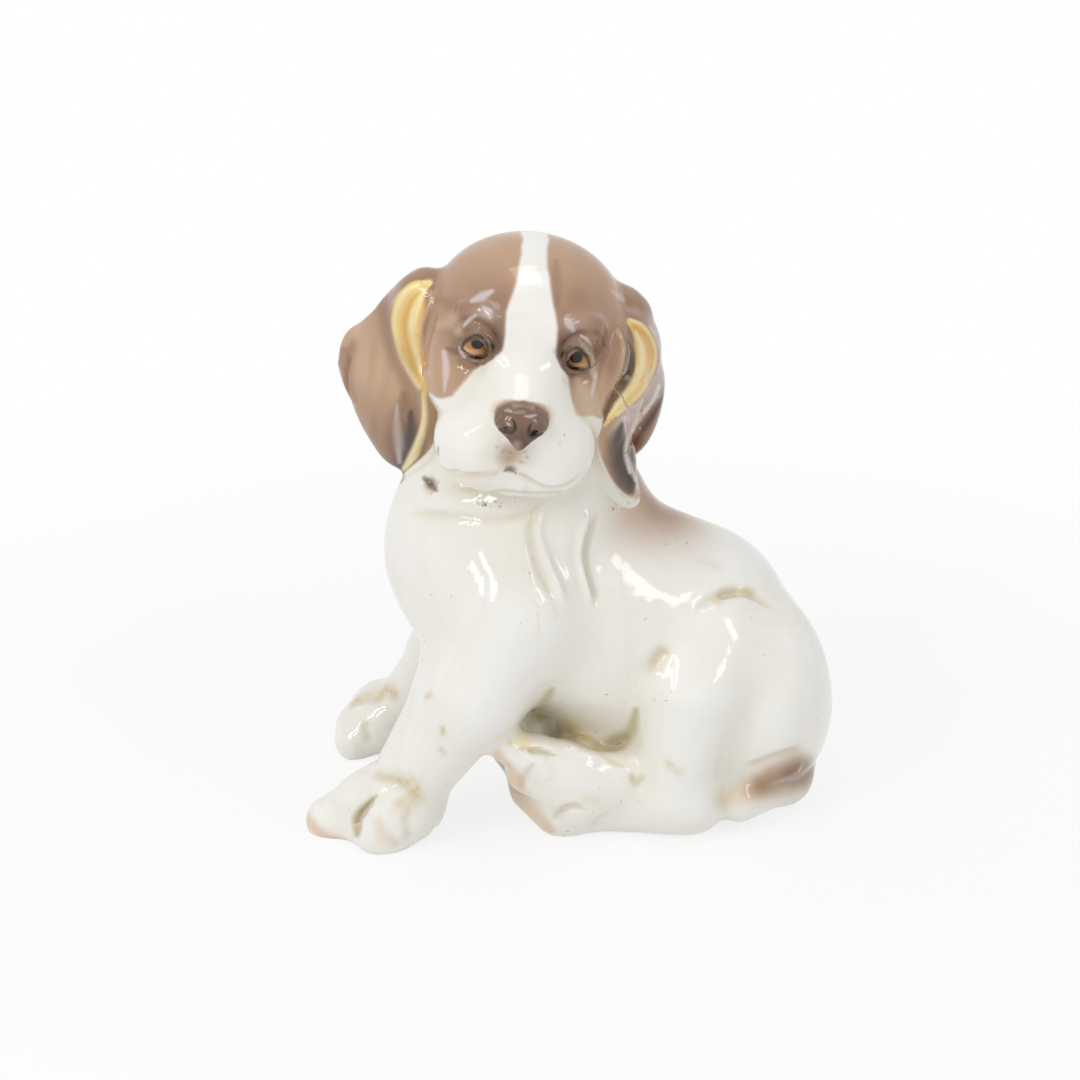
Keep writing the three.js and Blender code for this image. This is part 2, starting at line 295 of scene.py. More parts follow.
right_ear_lumps = [
    Ball((-24.5, 2, -1), (7, 8, 9), place=HEAD),
    ear_lobe((-28.5, 4, -10), (9.5, 3.8, 13), 24, -38),
    ear_lobe((-31.5, 6.3, -24.5), (15.5, 3.8, 14), 0, -38),
    ear_lobe((-28, 3, -33.5), (11, 3.4, 13.5), -9, -38),
]
left_ear_lumps = [
    Ball((21.8, 3, 0.5), (7, 8, 8), place=HEAD),
    ear_lobe((26.3, 4.7, -8), (8.3, 3.8, 11), -10, 58),
    ear_lobe((27.2, 3.6, -18), (12.3, 3.8, 13.5), -3, 58),
    ear_lobe((23.8, -8, -26.5), (8, 3.8, 12), 0, 58),
    ear_lobe((24.8, -3.8, -14.5), (6, 3.7, 6.5), 0, 58),
    ear_lobe((27, -10, -35.5), (4.2, 3.2, 8.5), -10, 58),
    *rolls([(21.4, -10.5, 3.2), (21.6, -12, -0.7), (21.0, -14.2, -4.4), (20.4, -16.4, -8.0),
            (20.6, -15.8, -11.4), (21.3, -14.2, -15.0), (22.0, -13.2, -20.0), (22.8, -12.8, -25.0),
            (24.2, -12.4, -29.5)], (1.2, 1.5, 1.6, 1.6, 1.6, 1.7, 1.8, 1.8, 1.5), HEAD),
    ear_lobe((32.0, 9.2, -28.5), (4.8, 3.4, 10.5), 12, 58),
]
left_foreleg_lumps = [
    *rolls([(14, -11, 62), (16, -22, 42), (12, -35, 20)], (17, 13, 10)),
    Ball((9, -39, 9), (11, 11, 10)),
    Roll((3, -41.5, 7.5), (2, -56.3, 2), (9, 6.0)),
    Roll((12, -39.5, 10), (14, -43.5, 5), (8, 6.5)),
    Ball((6.5, -48.5, 9.5), (5.2, 6.5, 6)),
    Roll((12.5, -42, 13), (15.5, -46.5, 4.5), (4.2, 3.6)),
    Roll((3, -56, 2.5), (14, -47, 2.5), (2.5, 2.5)),
]
right_foreleg_lumps = [
    *rolls([(-20, -12, 51.5), (-27, -20, 32), (-36, -28, 17)], (14, 10, 8)),
    Ball((-41.5, -34.5, 8.5), (9.5, 9.5, 9)),
    Roll((-44, -36, 8), (-45, -42.5, 4), (6.5, 5.5)),
    Roll((-38, -37, 8), (-37, -44, 4), (6.5, 5.5)),
]
left_thigh_lumps = [Ball((12, 51.5, 31.5), (19, 18, 26)), Ball((17, 38, 45.5), (13, 15, 17))]
left_hind_lumps = [
    *left_thigh_lumps,
    Roll((22, 31, 38.5), (22, 27, 14), (13, 10)),
    Roll((21.5, 32, 9), (15, 10, 9), (9.5, 9.5)),
    Roll((16, 1, 7), (-3, -8, 15), (7, 6)),
    *rolls([(22, -14.2, 27.3), (21, -8, 24.4), (21.5, 2, 20.8), (22, 12, 17.5)], (3.7, 4.2, 5.0, 6.0)),
    Roll((18.6, -8.8, 18.5), (20.5, 4, 13), (5, 6.5)),
    Roll((14, -1, 5), (8, -6.5, 7.5), (4.6, 3.8)),
]
right_hind_lumps = [
    Ball((-12, 53, 28), (19, 18, 26)),
    Ball((-17, 40, 36), (13, 15, 17)),
    Roll((-24, 34, 28), (-25, 26, 9), (13, 10)),
    Roll((-25, 26, 9), (-24, 4, 8), (9, 8)),
]
tail_lumps = rolls([(0, 60, 11), (12, 58.5, 7.5), (24, 44, 8.5)], (8, 7, 6))

torso_form = melt(10, *body_lumps, neck_lump)


def head_form(p):
    depth = carve(1.6, skull_form, *sockets)(p)
    depth = meet(depth, nose_form(p), 1.2)
    depth = np.minimum(depth, eye_form(p))
    return meet(depth, lid_form(p), 0.9)


skull_form = melt(5, *skull_lumps)
nose_form = carve(0.5, melt(1.5, *nose_lumps), *nostrils)
eye_form = melt(0.01, *eyeballs)
lid_form = melt(0.5, *eyelids)
left_foreleg_form = melt(5, *left_foreleg_lumps)
right_foreleg_form = melt(5, *right_foreleg_lumps)
left_hind_form = melt(6, *left_hind_lumps)
right_hind_form = melt(6, *right_hind_lumps)
tail_form = melt(4, *tail_lumps)
right_ear_form = melt(5, *right_ear_lumps)
left_ear_form = melt(5, *left_ear_lumps)

# What joins the torso, and how softly
limbs = [(left_foreleg_form, 9), (right_foreleg_form, 9), (left_hind_form, 5), (right_hind_form, 5),
         (tail_form, 3)]


def trunk_form(p):
    """Everything below the head, melted together."""
    depth = torso_form(p)
    for limb, blend in limbs:
        depth = meet(depth, limb(p), blend)
    return depth


def figure_form(p):
    """The trunk with the head on it."""
    return meet(trunk_form(p), head_form(p), 5)


def bust_form(p):
    """The figure with its ears."""
    return meet(meet(figure_form(p), right_ear_form(p), 3), left_ear_form(p), 3)


# Making skins


def clear_selection():
    for thing in bpy.context.selected_objects:
        thing.select_set(False)


def fuse(name, lumps, grain):
    """Lumps put down one by one, joined, and fused into one skin with faces of about one grain."""
    clear_selection()
    put_down = []
    for lump in lumps:
        before = set(bpy.data.objects)
        lump.put()
        put_down += [o for o in bpy.data.objects if o not in before]
    for thing in put_down:
        thing.select_set(True)
    bpy.context.view_layer.objects.active = put_down[0]
    bpy.ops.object.join()
    skin = bpy.context.object
    skin.name = skin.data.name = name
    bpy.ops.object.transform_apply(location=True, rotation=True, scale=True)
    remesh = skin.modifiers.new("fuse", "REMESH")
    remesh.mode, remesh.voxel_size, remesh.use_smooth_shade = "VOXEL", grain, True
    bpy.ops.object.modifier_apply(modifier=remesh.name)
    return skin


def read(items, key, width=3, kind=float):
    """One value of all vertices, faces or attribute points of a mesh, as an array."""
    values = np.empty(len(items) * width, kind)
    items.foreach_get(key, values)
    return values.reshape(-1, width) if width > 1 else values


def places(skin):
    return read(skin.data.vertices, "co")


def middles(skin):
    return read(skin.data.polygons, "center")


def vertex_normals(skin):
    return read(skin.data.vertex_normals, "vector", kind=np.float32)


def move_to(skin, p):
    skin.data.vertices.foreach_set("co", p.astype(np.float32).ravel())
    skin.data.update()


def slope(form, p, here):
    """The way out of a form at points, as long as the form is steep there."""
    step = 0.02
    return np.stack([(form(p + np.eye(3)[k] * step) - here) / step for k in range(3)], 1)


def outwards(form, p):
    """The way out of a form at points, of length 1."""
    up = slope(form, p, form(p))
    return up / np.maximum(np.linalg.norm(up, axis=1), 1e-6)[:, None]


def settle(form, p, rounds=8):
    """Moves points along a form's slope until they lie on it."""
    close_enough, longest_move = 0.01, 1.5
    p = p.copy()
    loose = np.arange(len(p))
    for _ in range(rounds):
        q = p[loose]
        here = form(q)
        up = slope(form, q, here)
        move = here[:, None] * up / np.maximum((up * up).sum(1), 0.25)[:, None]
        far = np.sqrt((move * move).sum(1))
        p[loose] = q - move * np.minimum(1, longest_move / np.maximum(far, 1e-9))[:, None]
        loose = loose[np.abs(here) > close_enough]
        if not len(loose):
            break
    return p


BUST_GRAIN = 0.34
TRUNK_GRAIN = 0.55

# Tooling: strokes pressed into or raised from a skin


def soft_step(x, low, high):
    """0 under low, 1 over high, soft between."""
    t = np.clip((x - low) / (high - low), 0, 1)
    return t * t * (3 - 2 * t)


def curve(knots, spacing):
    """A smooth line through knots, as points about one spacing apart."""
    knots = np.vstack([2 * knots[0] - knots[1], knots, 2 * knots[-1] - knots[-2]])
    line = []
    for a, b, c, d in zip(knots, knots[1:], knots[2:], knots[3:]):
        count = max(2, int(np.linalg.norm(c - b) / spacing))
        t = np.arange(count)[:, None] / count
        line.append(0.5 * (2 * b + (c - a) * t + (2 * a - 5 * b + 4 * c - d) * t ** 2
                           + (3 * b - a - 3 * c + d) * t ** 3))
    return np.vstack(line + [knots[-2:-1]])


def follow(path, form, spacing=0.5):
    """A smooth line on a form through points of the picture (x, y) or of the figure (x, y, z)."""
    path = np.array(path, float)
    knots = seen(path, form) if path.shape[1] == 2 else settle(form, path)
    return settle(form, curve(knots, spacing), 3)


def away_from(line, p):
    """Distance to a line of points, and how far along it the nearest place is, from 0 to 1."""
    far = np.full(len(p), 1e9)
    along = np.zeros(len(p))
    steps = np.linalg.norm(np.diff(line, axis=0), axis=1)
    run = np.concatenate([[0], np.cumsum(steps)]) / steps.sum()
    for i in range(len(line) - 1):
        a, ab = line[i], line[i + 1] - line[i]
        t = np.clip((p - a) @ ab / max(ab @ ab, 1e-9), 0, 1)
        off = p - a - t[:, None] * ab
        d = np.einsum("ij,ij->i", off, off)
        nearer = d < far
        far[nearer] = d[nearer]
        along[nearer] = run[i] + (run[i + 1] - run[i]) * t[nearer]
    return np.sqrt(far), along


def near_line(line, p, reach):
    """Which points lie in the box round a line, widened by a reach."""
    return np.flatnonzero(((p > line.min(0) - reach) & (p < line.max(0) + reach)).all(1))


def tool(p, form, strokes):
    """Raises (height over 0) or presses (under 0) the skin along each stroke: path, width, height.

    Gives the tooled points, and how far each was moved.
    """
    up = outwards(form, p)
    lift = np.zeros(len(p))
    for path, width, height in strokes:
        line = follow(path, form)
        close = near_line(line, p, width * 2.5)
        off, along = away_from(line, p[close])
        way = slope(form, line, form(line))
        way /= np.linalg.norm(way, axis=1)[:, None]
        facing = up[close] @ way.mean(0) / max(np.linalg.norm(way.mean(0)), 1e-6)
        ends = soft_step(along, 0, 0.22) * soft_step(1 - along, 0, 0.22)
        lift[close] += height * np.exp(-(off / width) ** 2) * ends * soft_step(facing, -0.2, 0.4)
    return p + up * lift[:, None], lift


def on_head(points, side=1):
    """Points of the head's frame as points of the figure, mirrored where side is -1."""
    return [tuple(HEAD @ Vector((side * x, y, z))) for x, y, z in points]


face_strokes = [
    # mouth: a dimple under the nose, a soft lip line each way under the flews
    ([(505, 471), (511, 470), (517, 473)], 0.9, -1.3),
    ([(511, 471), (497, 472), (483, 475), (466, 476), (450, 473), (438, 463)], 0.9, -0.9),
    ([(511, 471), (524, 478), (540, 487), (556, 489), (571, 483), (584, 469)], 0.9, -1.0),
    # lower lip
    ([(492, 481), (510, 484), (528, 490)], 2.0, 0.6),
    # groove from the nose to the mouth
    ([(517.5, 449), (516, 456), (513, 463), (511, 470)], 0.9, -0.35),
]
for path, width, height in (
        # crease over the upper lid
        ([(7.2, -23, 2.4), (8.7, -22, 5.6), (12.0, -20.3, 7.2), (15.2, -17.5, 5.8), (17.3, -15, 1.4)],
         0.9, -0.6),
        # brow ridge
        ([(6.8, -21, 8.0), (10.5, -19, 10.0), (14.5, -16, 9.2), (17.5, -13, 6.0)], 1.6, 0.9),
        # hollow under the lower lid
        ([(8.6, -23, -2.4), (10.8, -22.5, -4.2), (13.6, -21, -4.9), (16.4, -18, -3.9)], 0.9, -0.35),
        # groove round the nose leather
        ([(6.2, -37.5, -12.2), (7.2, -36, -9.0), (6.0, -35.5, -5.8), (2.5, -34.5, -4.6)], 0.8, -0.5)):
    face_strokes += [(on_head(path, side), width, height) for side in (1, -1)]
ear_strokes = [
    # right ear: raised rim, the hollow that shows its inside, the rolled edge by the cheek, and the back edge
    ([(429, 281), (418, 284), (405, 291), (396, 305), (393, 323), (396, 341), (402, 358), (410, 372),
      (420, 388), (424, 402), (425, 418), (421, 436), (412, 457), (403, 470)], 0.9, 1.0),
    ([(427, 290), (414, 299), (406, 314), (405, 331), (411, 350), (418, 367), (424, 385)], 2.4, -2.4),
    ([(431, 288), (431, 300), (426, 314), (422, 329), (422, 345), (424, 362), (428, 380), (430, 396)],
     0.9, 0.8),
    ([(344, 350), (339, 364), (337, 380), (341, 400), (352, 420)], 1.3, 0.8),
    ([(352, 349), (348, 362), (346, 378), (349, 396), (356, 410)], 0.9, -0.9),
    ([(404, 412), (399, 432), (398, 456)], 1.6, -0.9),
    ([(356, 318), (372, 330), (378, 352), (376, 380)], 5.0, 0.5),
    # left ear: raised rim, the hollow, the edge by the cheek, the outer fold, and the groove behind it
    ([(631, 320), (642, 325), (652, 339), (656, 355), (652, 374), (643, 391), (630, 404), (617, 415),
      (606, 427)], 0.9, 1.0),
    ([(630, 348), (632, 360), (627, 374), (618, 391), (610, 405), (603, 418)], 2.2, -2.4),
    ([(620, 330), (624, 346), (620, 372), (610, 391), (600, 411), (597, 432), (602, 462), (616, 488)],
     0.9, 0.8),
    ([(660, 384), (652, 402), (636, 422), (628, 439), (626, 455), (631, 475), (637, 489)], 0.8, 0.9),
    ([(663, 392), (655, 408), (640, 428), (632, 442), (630, 456)], 1.1, -1.2),
    ([(622, 436), (619, 456), (625, 477), (634, 490)], 2.0, -0.8),
]
neck_strokes = [
    ([(404, 512), (430, 514), (465, 516), (500, 520), (530, 512), (552, 500)], 1.2, -0.9),
    ([(430, 492), (455, 500), (490, 506), (520, 505)], 2.6, 0.8),
    ([(440, 478), (468, 487), (500, 493), (530, 495), (560, 493), (580, 484)], 1.1, -1.1),
    ([(424, 478), (430, 484), (436, 489)], 1.8, -1.6),
]
fold_strokes = [
    # skin folds from the shoulder down
    ([(556, 497), (543, 511), (538, 530), (543, 551), (552, 574), (562, 597), (567, 612)], 1.1, 1.1),
    ([(549, 499), (536, 514), (531, 532), (535, 553), (544, 576), (553, 598)], 1.3, -1.0),
    ([(592, 504), (584, 526), (579, 550), (582, 574), (588, 594), (592, 611)], 0.9, 1.2),
    ([(600, 508), (592, 528), (586, 550), (588, 572), (594, 592), (598, 610)], 1.0, -1.1),
    ([(571, 522), (566, 545), (569, 568), (577, 592)], 2.0, 0.4),
]
body_strokes = [
    # crease along the top of the thigh, and the hollow in front of it
    ([(782, 612), (762, 600), (742, 592), (722, 594), (704, 604), (692, 616)], 1.3, -1.0),
    ([(744, 590), (730, 591), (718, 596)], 1.2, -1.0),
    ([(668, 648), (660, 658), (652, 672)], 1.6, -0.9),
    ([(700, 640), (684, 664), (676, 690), (680, 716)], 3.0, 0.5),
]
paw_strokes = [
    # left forepaw: the gap between its toes, their ridges, and the crease where they leave the foot
    ([(376, 794), (368, 804), (359, 814), (356, 824), (361, 836)], 1.5, -1.7),
    ([(302, 808), (320, 796), (340, 782), (358, 772)], 1.2, 0.6),
    ([(370, 774), (384, 778), (398, 783), (408, 796)], 1.2, -0.8),
    ([(385, 786), (376, 800), (366, 816)], 1.2, 0.6),
    ([(410, 842), (408, 828), (404, 814)], 1.3, -0.8),
    ([(430, 838), (432, 824), (430, 810)], 1.2, -0.5),
    # left hind foot: its toes
    ([(526, 752), (540, 751), (556, 754)], 0.9, -1.1),
    ([(524, 757), (536, 760), (545, 768), (549, 783)], 1.2, 0.7),
    ([(558, 731), (575, 738), (590, 744), (606, 746), (621, 742), (631, 733)], 1.4, -1.5),
    ([(560, 741), (575, 749), (590, 755), (606, 757), (625, 752)], 1.2, 0.6),
    ([(552, 824), (562, 811), (574, 807), (588, 809)], 1.1, -1.1),
    ([(590, 828), (600, 818), (612, 816)], 1.2, -0.6),
    ([(632, 776), (638, 786), (643, 776)], 1.0, -0.7),
    ([(808, 747), (792, 752), (770, 760), (740, 771)], 1.5, -1.2),
    ([(802, 768), (784, 774), (758, 784)], 2.6, 0.7),
    # right forepaw
    ([(350, 706), (362, 701), (376, 699), (388, 694)], 1.1, -0.8),
    ([(372, 744), (366, 732), (366, 720)], 1.1, -0.9),
]


# Paint under the glaze: colours airbrushed on the clay, with painted shade and painted highlights among them,
# worked out at each point of a skin


def hue(code):
    """A colour written as rrggbb, as light."""
    c = np.array([int(code[i:i + 2], 16) / 255 for i in (0, 2, 4)])
    return np.where(c <= 0.04045, c / 12.92, ((c + 0.055) / 1.055) ** 2.4)


# the cream and olive colours, where laid in hollows and creases, are pooled glaze and painted shade together
PORCELAIN, CREAM, POOLED_GLAZE_AND_SHADE = hue("f4f3ef"), hue("e8e3d5"), hue("bdb088")
BROWN, DEEP_BROWN, DARK = hue("b08b70"), hue("84604a"), hue("523a2f")
# the lilac colour is a painted sheen: the pale reflection on brown glaze
TAN, LILAC_SHEEN, TIP = hue("caa98a"), hue("c4b4ad"), hue("4a3d38")
INSIDE_EAR, PALE_EAR, DEEP_EAR, HOLLOW = hue("edcd80"), hue("f8e8b4"), hue("dda548"), hue("6a5034")
LEATHER, DARK_LEATHER = hue("7b5e4c"), hue("553c32")
AMBER, PALE_AMBER, PUPIL = hue("ad763c"), hue("dcb283"), hue("0b0a0a")
LID_LINE, LID = hue("33241d"), hue("8d745a")
SHEEN, BEIGE = hue("ddd3d2"), hue("d9c5a8")
STAIN, TOE, TAIL, BEARD = hue("cdb274"), hue("e2cab2"), hue("94704a"), hue("b69b80")


def mottle(p, size, seed=0):
    """Soft random clouds from 0 to 1, about as large as size."""
    q = p / size + seed * 17.3
    cell = np.floor(q)
    f = q - cell
    f = f * f * (3 - 2 * f)
    cloud = np.zeros(len(p))
    for i in (0, 1):
        for j in (0, 1):
            for k in (0, 1):
                scatter = np.sin((cell + (i, j, k)) @ np.array([12.9898, 78.233, 37.719])) * 43758.5453
                share = [f[:, n] if on else 1 - f[:, n] for n, on in enumerate((i, j, k))]
                cloud += (scatter - np.floor(scatter)) * share[0] * share[1] * share[2]
    return cloud


class Coat:
    """The paint on one skin."""

    def __init__(self, p, form, lift):
        self.p, self.form = p, form
        turn = np.array(HEAD.to_3x3())
        self.face = p @ turn - turn.T @ np.array(HEAD.translation)
        self.colour = np.tile(PORCELAIN, (len(p), 1))
        up = outwards(form, p)
        near, wide, broad = [np.clip(form(p + up * reach) / reach, 0, 1) for reach in (3.0, 9.0, 20.0)]
        self.recess = (1 - near) * 0.5 + (1 - wide) * 0.5
        self.valley = 1 - broad
        self.pressed = np.clip(-lift / 1.6, 0, 1)
        self.picture = in_picture(p)
        self.facing = soft_step(up @ BACK, 0.0, 0.3)

    def brush(self, colour, amount):
        amount = np.clip(amount, 0, 1)[:, None]
        self.colour = self.colour * (1 - amount) + colour * amount

    def puff(self, at, radii):
        """A soft egg-shaped cloud in the head's frame: 1 in its middle, 0 far away."""
        return np.exp(-(((self.face - at) / radii) ** 2).sum(1))

    def spray(self, colour, at, width, strength):
        """A soft round spot, at a point of the picture or of the figure."""
        at = seen([at], self.form)[0] if len(at) == 2 else np.array(at)
        off = self.p - at
        self.brush(colour, strength * np.exp(-(off * off).sum(1) / width ** 2))

    def band(self, line, p, width, strength, edge):
        """How much of a line each point gets, even in its middle and soft at its edge.

        The width is half of the line's, and may be a list from start to end.
        """
        close = near_line(line, p, np.max(width) * 1.6)
        off, along = away_from(line, p[close])
        width = np.interp(along, np.linspace(0, 1, np.size(width)), np.atleast_1d(width))
        amount = np.zeros(len(p))
        amount[close] = strength * (1 - soft_step(off / width, 1 - edge, 1 + edge))
        return amount

    def line(self, colour, path, width, strength, edge=0.5):
        """A line on the form, its width in mm."""
        self.brush(colour, self.band(follow(path, self.form), self.p, width, strength, edge))

    def trace(self, colour, path, width, strength, edge=0.5, where=1.0):
        """A line laid on as the lens sees it: path and width in the picture's pixels."""
        amount = self.band(curve(np.array(path, float), 2.0), self.picture, width, strength, edge)
        self.brush(colour, amount * self.facing * where)

    def traces(self, rows, where=1.0):
        for row in rows:
            self.trace(*row, where)

    def smear(self, colour, path, width, strength):
        """A worn, uneven line."""
        line = follow(path, self.form)
        close = near_line(line, self.p, width * 2.5)
        off = away_from(line, self.p[close])[0]
        amount = np.zeros(len(self.p))
        uneven = mottle(self.p[close], 1.3, 21) * 0.7 + mottle(self.p[close], 3, 22) * 0.6
        amount[close] = strength * np.exp(-(off / width) ** 2) * uneven
        self.brush(colour, amount)


# Edges of the two brown patches in the head's frame: height, and x at the viewer's left and right
PATCH_LEFT = [(-17, -25), (-15.3, -20.1), (-13.5, -18), (-11.7, -15.8), (-8.3, -14.3), (-4.8, -12.1),
              (-1.1, -8.8), (1.8, -6.2), (5.4, -5.8), (10, -5.9), (13.7, -4.7), (17.5, -3.9), (22, -3.8)]
PATCH_RIGHT = [(-16, 23), (-14.3, 18), (-12.6, 15.4), (-10.8, 13), (-7.7, 11.5), (-2.7, 9.4), (1.6, 6.8),
               (8.1, 6), (14.1, 4.1), (17.5, 2.7), (22, 2.5)]
EYES = [(-11.8, -20.4, 2.1), (11.4, -20.5, 1.2)]
NOSE = (0, -36, -10)

# Traces, here and further on: colour, path, half its width, strength, softness of the edge
PATCH_SHADES = [
    (DARK, [(447, 349), (455, 351), (462, 353)], [2, 4, 2], 0.5, 0.98),
    (DEEP_BROWN, [(460, 361), (470, 366), (481, 362)], [2, 4, 2], 0.5, 0.98),
    (DARK, [(557, 336), (559, 352), (563, 367), (573, 377)], [3, 5, 5, 2], 0.5, 0.98),
    # the pale streak on the upper lid at the viewer's right is a painted highlight
    (BEIGE, [(583, 345), (588, 354), (592, 365), (594, 377)], [2, 4, 4.5, 2], 0.75, 0.98),
    (BEIGE, [(578, 382), (585, 398), (590, 414)], [4, 11, 14], 0.55, 0.98),
    (BROWN, [(560, 300), (575, 312), (590, 330)], [4, 8, 4], 0.5, 0.98),
    (DEEP_BROWN, [(440, 300), (456, 306), (474, 306)], [4, 8, 4], 0.4, 0.98),
    (DEEP_BROWN, [(556, 262), (556, 285), (557, 305)], [3, 6, 3], 0.4, 0.98),
    (TAN, [(440, 325), (452, 322), (458, 332)], [4, 8, 4], 0.6, 0.98),
]
# Pale reflections, painted in
PATCH_SHEENS = [
    (SHEEN, [(444, 352), (446, 368), (444.5, 391)], [2.6, 3.6, 1.0], 0.65, 0.65),
    (SHEEN, [(464, 326), (469, 320), (476, 315)], [1.2, 2.2, 1.2], 0.6, 0.65),
    (SHEEN, [(484, 308), (488, 312), (490, 317)], [2.2, 4.5, 2.2], 0.5, 0.65),
    (SHEEN, [(472, 301), (481, 297), (492, 291)], [2.0, 4.6, 2.0], 0.65, 0.65),
    (SHEEN, [(566, 320), (570, 325), (573, 330)], [2.2, 4.2, 2.2], 0.55, 0.65),
    (SHEEN, [(581, 336), (586, 339), (591, 345)], [1.0, 2.0, 1.0], 0.6, 0.65),
    (SHEEN, [(597, 373), (594, 384), (592, 396)], [1.0, 1.9, 0.8], 0.6, 0.65),
    (SHEEN, [(435, 290), (432, 299), (431, 309)], [0.8, 1.6, 0.8], 0.5, 0.65),
    (SHEEN, [(611, 290), (620, 297), (628, 304)], [1, 3, 1], 0.4, 0.65),
]


def paint_hollows(coat):
    """Glaze pooled in the hollows, with painted shade: cream and olive where a point is closed in, pressed or
    in a broad hollow.
    """
    coat.brush(CREAM, coat.recess * 1.1 + coat.pressed * 0.6 + coat.valley * 0.6)
    coat.brush(POOLED_GLAZE_AND_SHADE, soft_step(coat.recess, 0.5, 1.0) * 0.5 + coat.pressed ** 2 * 0.3)


def paint_patches(coat):
    x, y, z = coat.face.T
    wander = (mottle(coat.p, 5, 1) - 0.5) * 1.2
    left = np.interp(z, *np.array(PATCH_LEFT).T) - x + wander
    right = x - np.interp(z, *np.array(PATCH_RIGHT).T) + wander
    behind = soft_step(y, 6, 13) * soft_step(z, -25, -13)
    inside = np.maximum(soft_step(np.maximum(left, right), -0.5, 0.7), behind)
    streaks = mottle(coat.face * (1.2, 1, 0.5), 2.6, 3)
    cloud = mottle(coat.p, 7, 2) * 0.7 + streaks * 0.3
    crown = soft_step(z, -8, 4) * (0.15 + 0.75 * cloud * cloud) * soft_step(24 - z, 6, 22)
    coat.brush(BROWN, inside)
    coat.brush(TAN, inside * (0.25 + 0.5 * cloud))
    coat.brush(DEEP_BROWN, inside * crown)
    coat.brush(TAN, inside * soft_step(-z, 7, 15) * (0.35 + 0.4 * (x > 0)))
    # deeper brown in the hollows of the patches: painted shade
    coat.brush(DEEP_BROWN, inside * coat.recess * 0.5)
    for side in (-1, 1):
        coat.brush(DEEP_BROWN, inside * 0.7 * coat.puff((side * 10, -15, 10), (7, 12, 6)) * (0.3 + cloud))
    arch = [(7.0, -22.5, 3.2), (8.4, -21.5, 6.2), (12.0, -20, 7.8), (15.6, -17, 6.2), (18.0, -14.5, 1.6)]
    for side, (ex, ey, ez) in zip((-1, 1), EYES):
        eye = (ex + side * 0.4, ey, ez - 0.5)
        coat.brush(DEEP_BROWN, inside * 0.95 * coat.puff(eye, (6.6, 9, 5.6)))
        coat.brush(DARK, inside * 0.75 * coat.puff(eye, (4.6, 8, 3.2)) * (0.7 + 0.5 * cloud))
        coat.brush(DARK, inside * 0.6 * coat.puff((side * 7.8, -22, 3.5), (2.0, 6, 6.0)))
        # a pale lilac spot over each brow: a painted highlight
        coat.brush(LILAC_SHEEN, inside * 0.5 * coat.puff((side * 10.5, -19, 9.4), (3.2, 6, 1.3)))
        # a dark line along the crease over each upper lid: painted shade
        coat.line(DARK, on_head(arch, side), [0.9, 0.7, 0.6, 0.5, 0.3], 0.5, 0.95)
    coat.traces(PATCH_SHADES, inside)
    coat.traces(PATCH_SHEENS, inside)


UPPER_LASHES = [[(462, 348), (465, 342), (470, 338), (476, 335.5), (482, 337.5), (486, 343), (488, 352)],
                [(566, 359), (567, 353), (571, 349), (577, 348), (583, 352), (588, 360), (590, 367)]]
LOWER_LASHES = [[(463, 349), (468, 354.5), (475, 357.5), (482, 357.5), (488, 354)],
                [(566, 361), (570, 367), (577, 370), (584, 370), (590, 367)]]
# pale lines along the lower lids: painted highlights
LOWER_LID_HIGHLIGHTS = [[(466, 349.5), (471, 353.5), (477, 355), (483, 353.5)],
             [(569, 363), (574, 366.5), (581, 366.5), (586, 364)]]
# a pale glint by the corner of the eye at the viewer's left: a painted highlight
INNER_CORNER = [(459, 347), (461, 353), (465, 358)]
RIMS = [[(467, 352), (472, 355), (479, 355.5)], [(571, 365), (576, 367.5), (582, 367)]]


def paint_eyes(coat):
    on_ball = 1 - soft_step(eye_form(coat.p), 0.02, 0.22)
    on_lid = 1 - soft_step(lid_form(coat.p), 0.1, 0.7)
    for side, (x, y, z) in zip((-1, 1), EYES):
        off = coat.face - (x, y, z)
        here = (np.abs(off[:, 0]) < 7) * (np.abs(off[:, 2]) < 8)
        coat.brush(LID, on_lid * here * 0.6 * soft_step(off[:, 2], -0.5, 2.5))
        coat.brush(LEATHER, on_lid * here * 0.5 * soft_step(-off[:, 2], 1.0, 3.0))
        ball = on_ball * here
        coat.brush(AMBER, ball)
        coat.brush(PALE_AMBER, ball * soft_step(-off[:, 2], 1.0, 2.6) * 0.9)
        coat.brush(PUPIL, ball * (1 - soft_step(np.hypot(off[:, 0] / 1.5, off[:, 2] / 1.35), 0.88, 1.1)))
        # the top of the eye darkened: painted shade under the upper lid
        coat.brush(PUPIL, ball * soft_step(off[:, 2], 0.1, 1.0) * 0.9)
    coat.brush(LID_LINE, on_ball * on_lid * 1.2)
    for path in UPPER_LASHES:
        coat.trace(LID_LINE, path, [1.0, 1.6, 1.8, 2.0, 1.8, 1.6, 1.0], 0.9, 0.8)
    for path in LOWER_LASHES:
        coat.trace(LID_LINE, path, [0.8, 1.2, 1.3, 1.2, 0.8], 0.85, 0.8)
    # painted highlights along the lower lids
    for path in LOWER_LID_HIGHLIGHTS:
        coat.trace(PALE_AMBER, path, 0.8, 0.7, 0.9)
    # a painted highlight by the corner of the eye
    coat.trace(LILAC_SHEEN, INNER_CORNER, [1.0, 2.0, 1.2], 0.75, 0.7)
    for path in RIMS:
        coat.trace(DEEP_BROWN, path, 0.5, 0.6, 0.9)


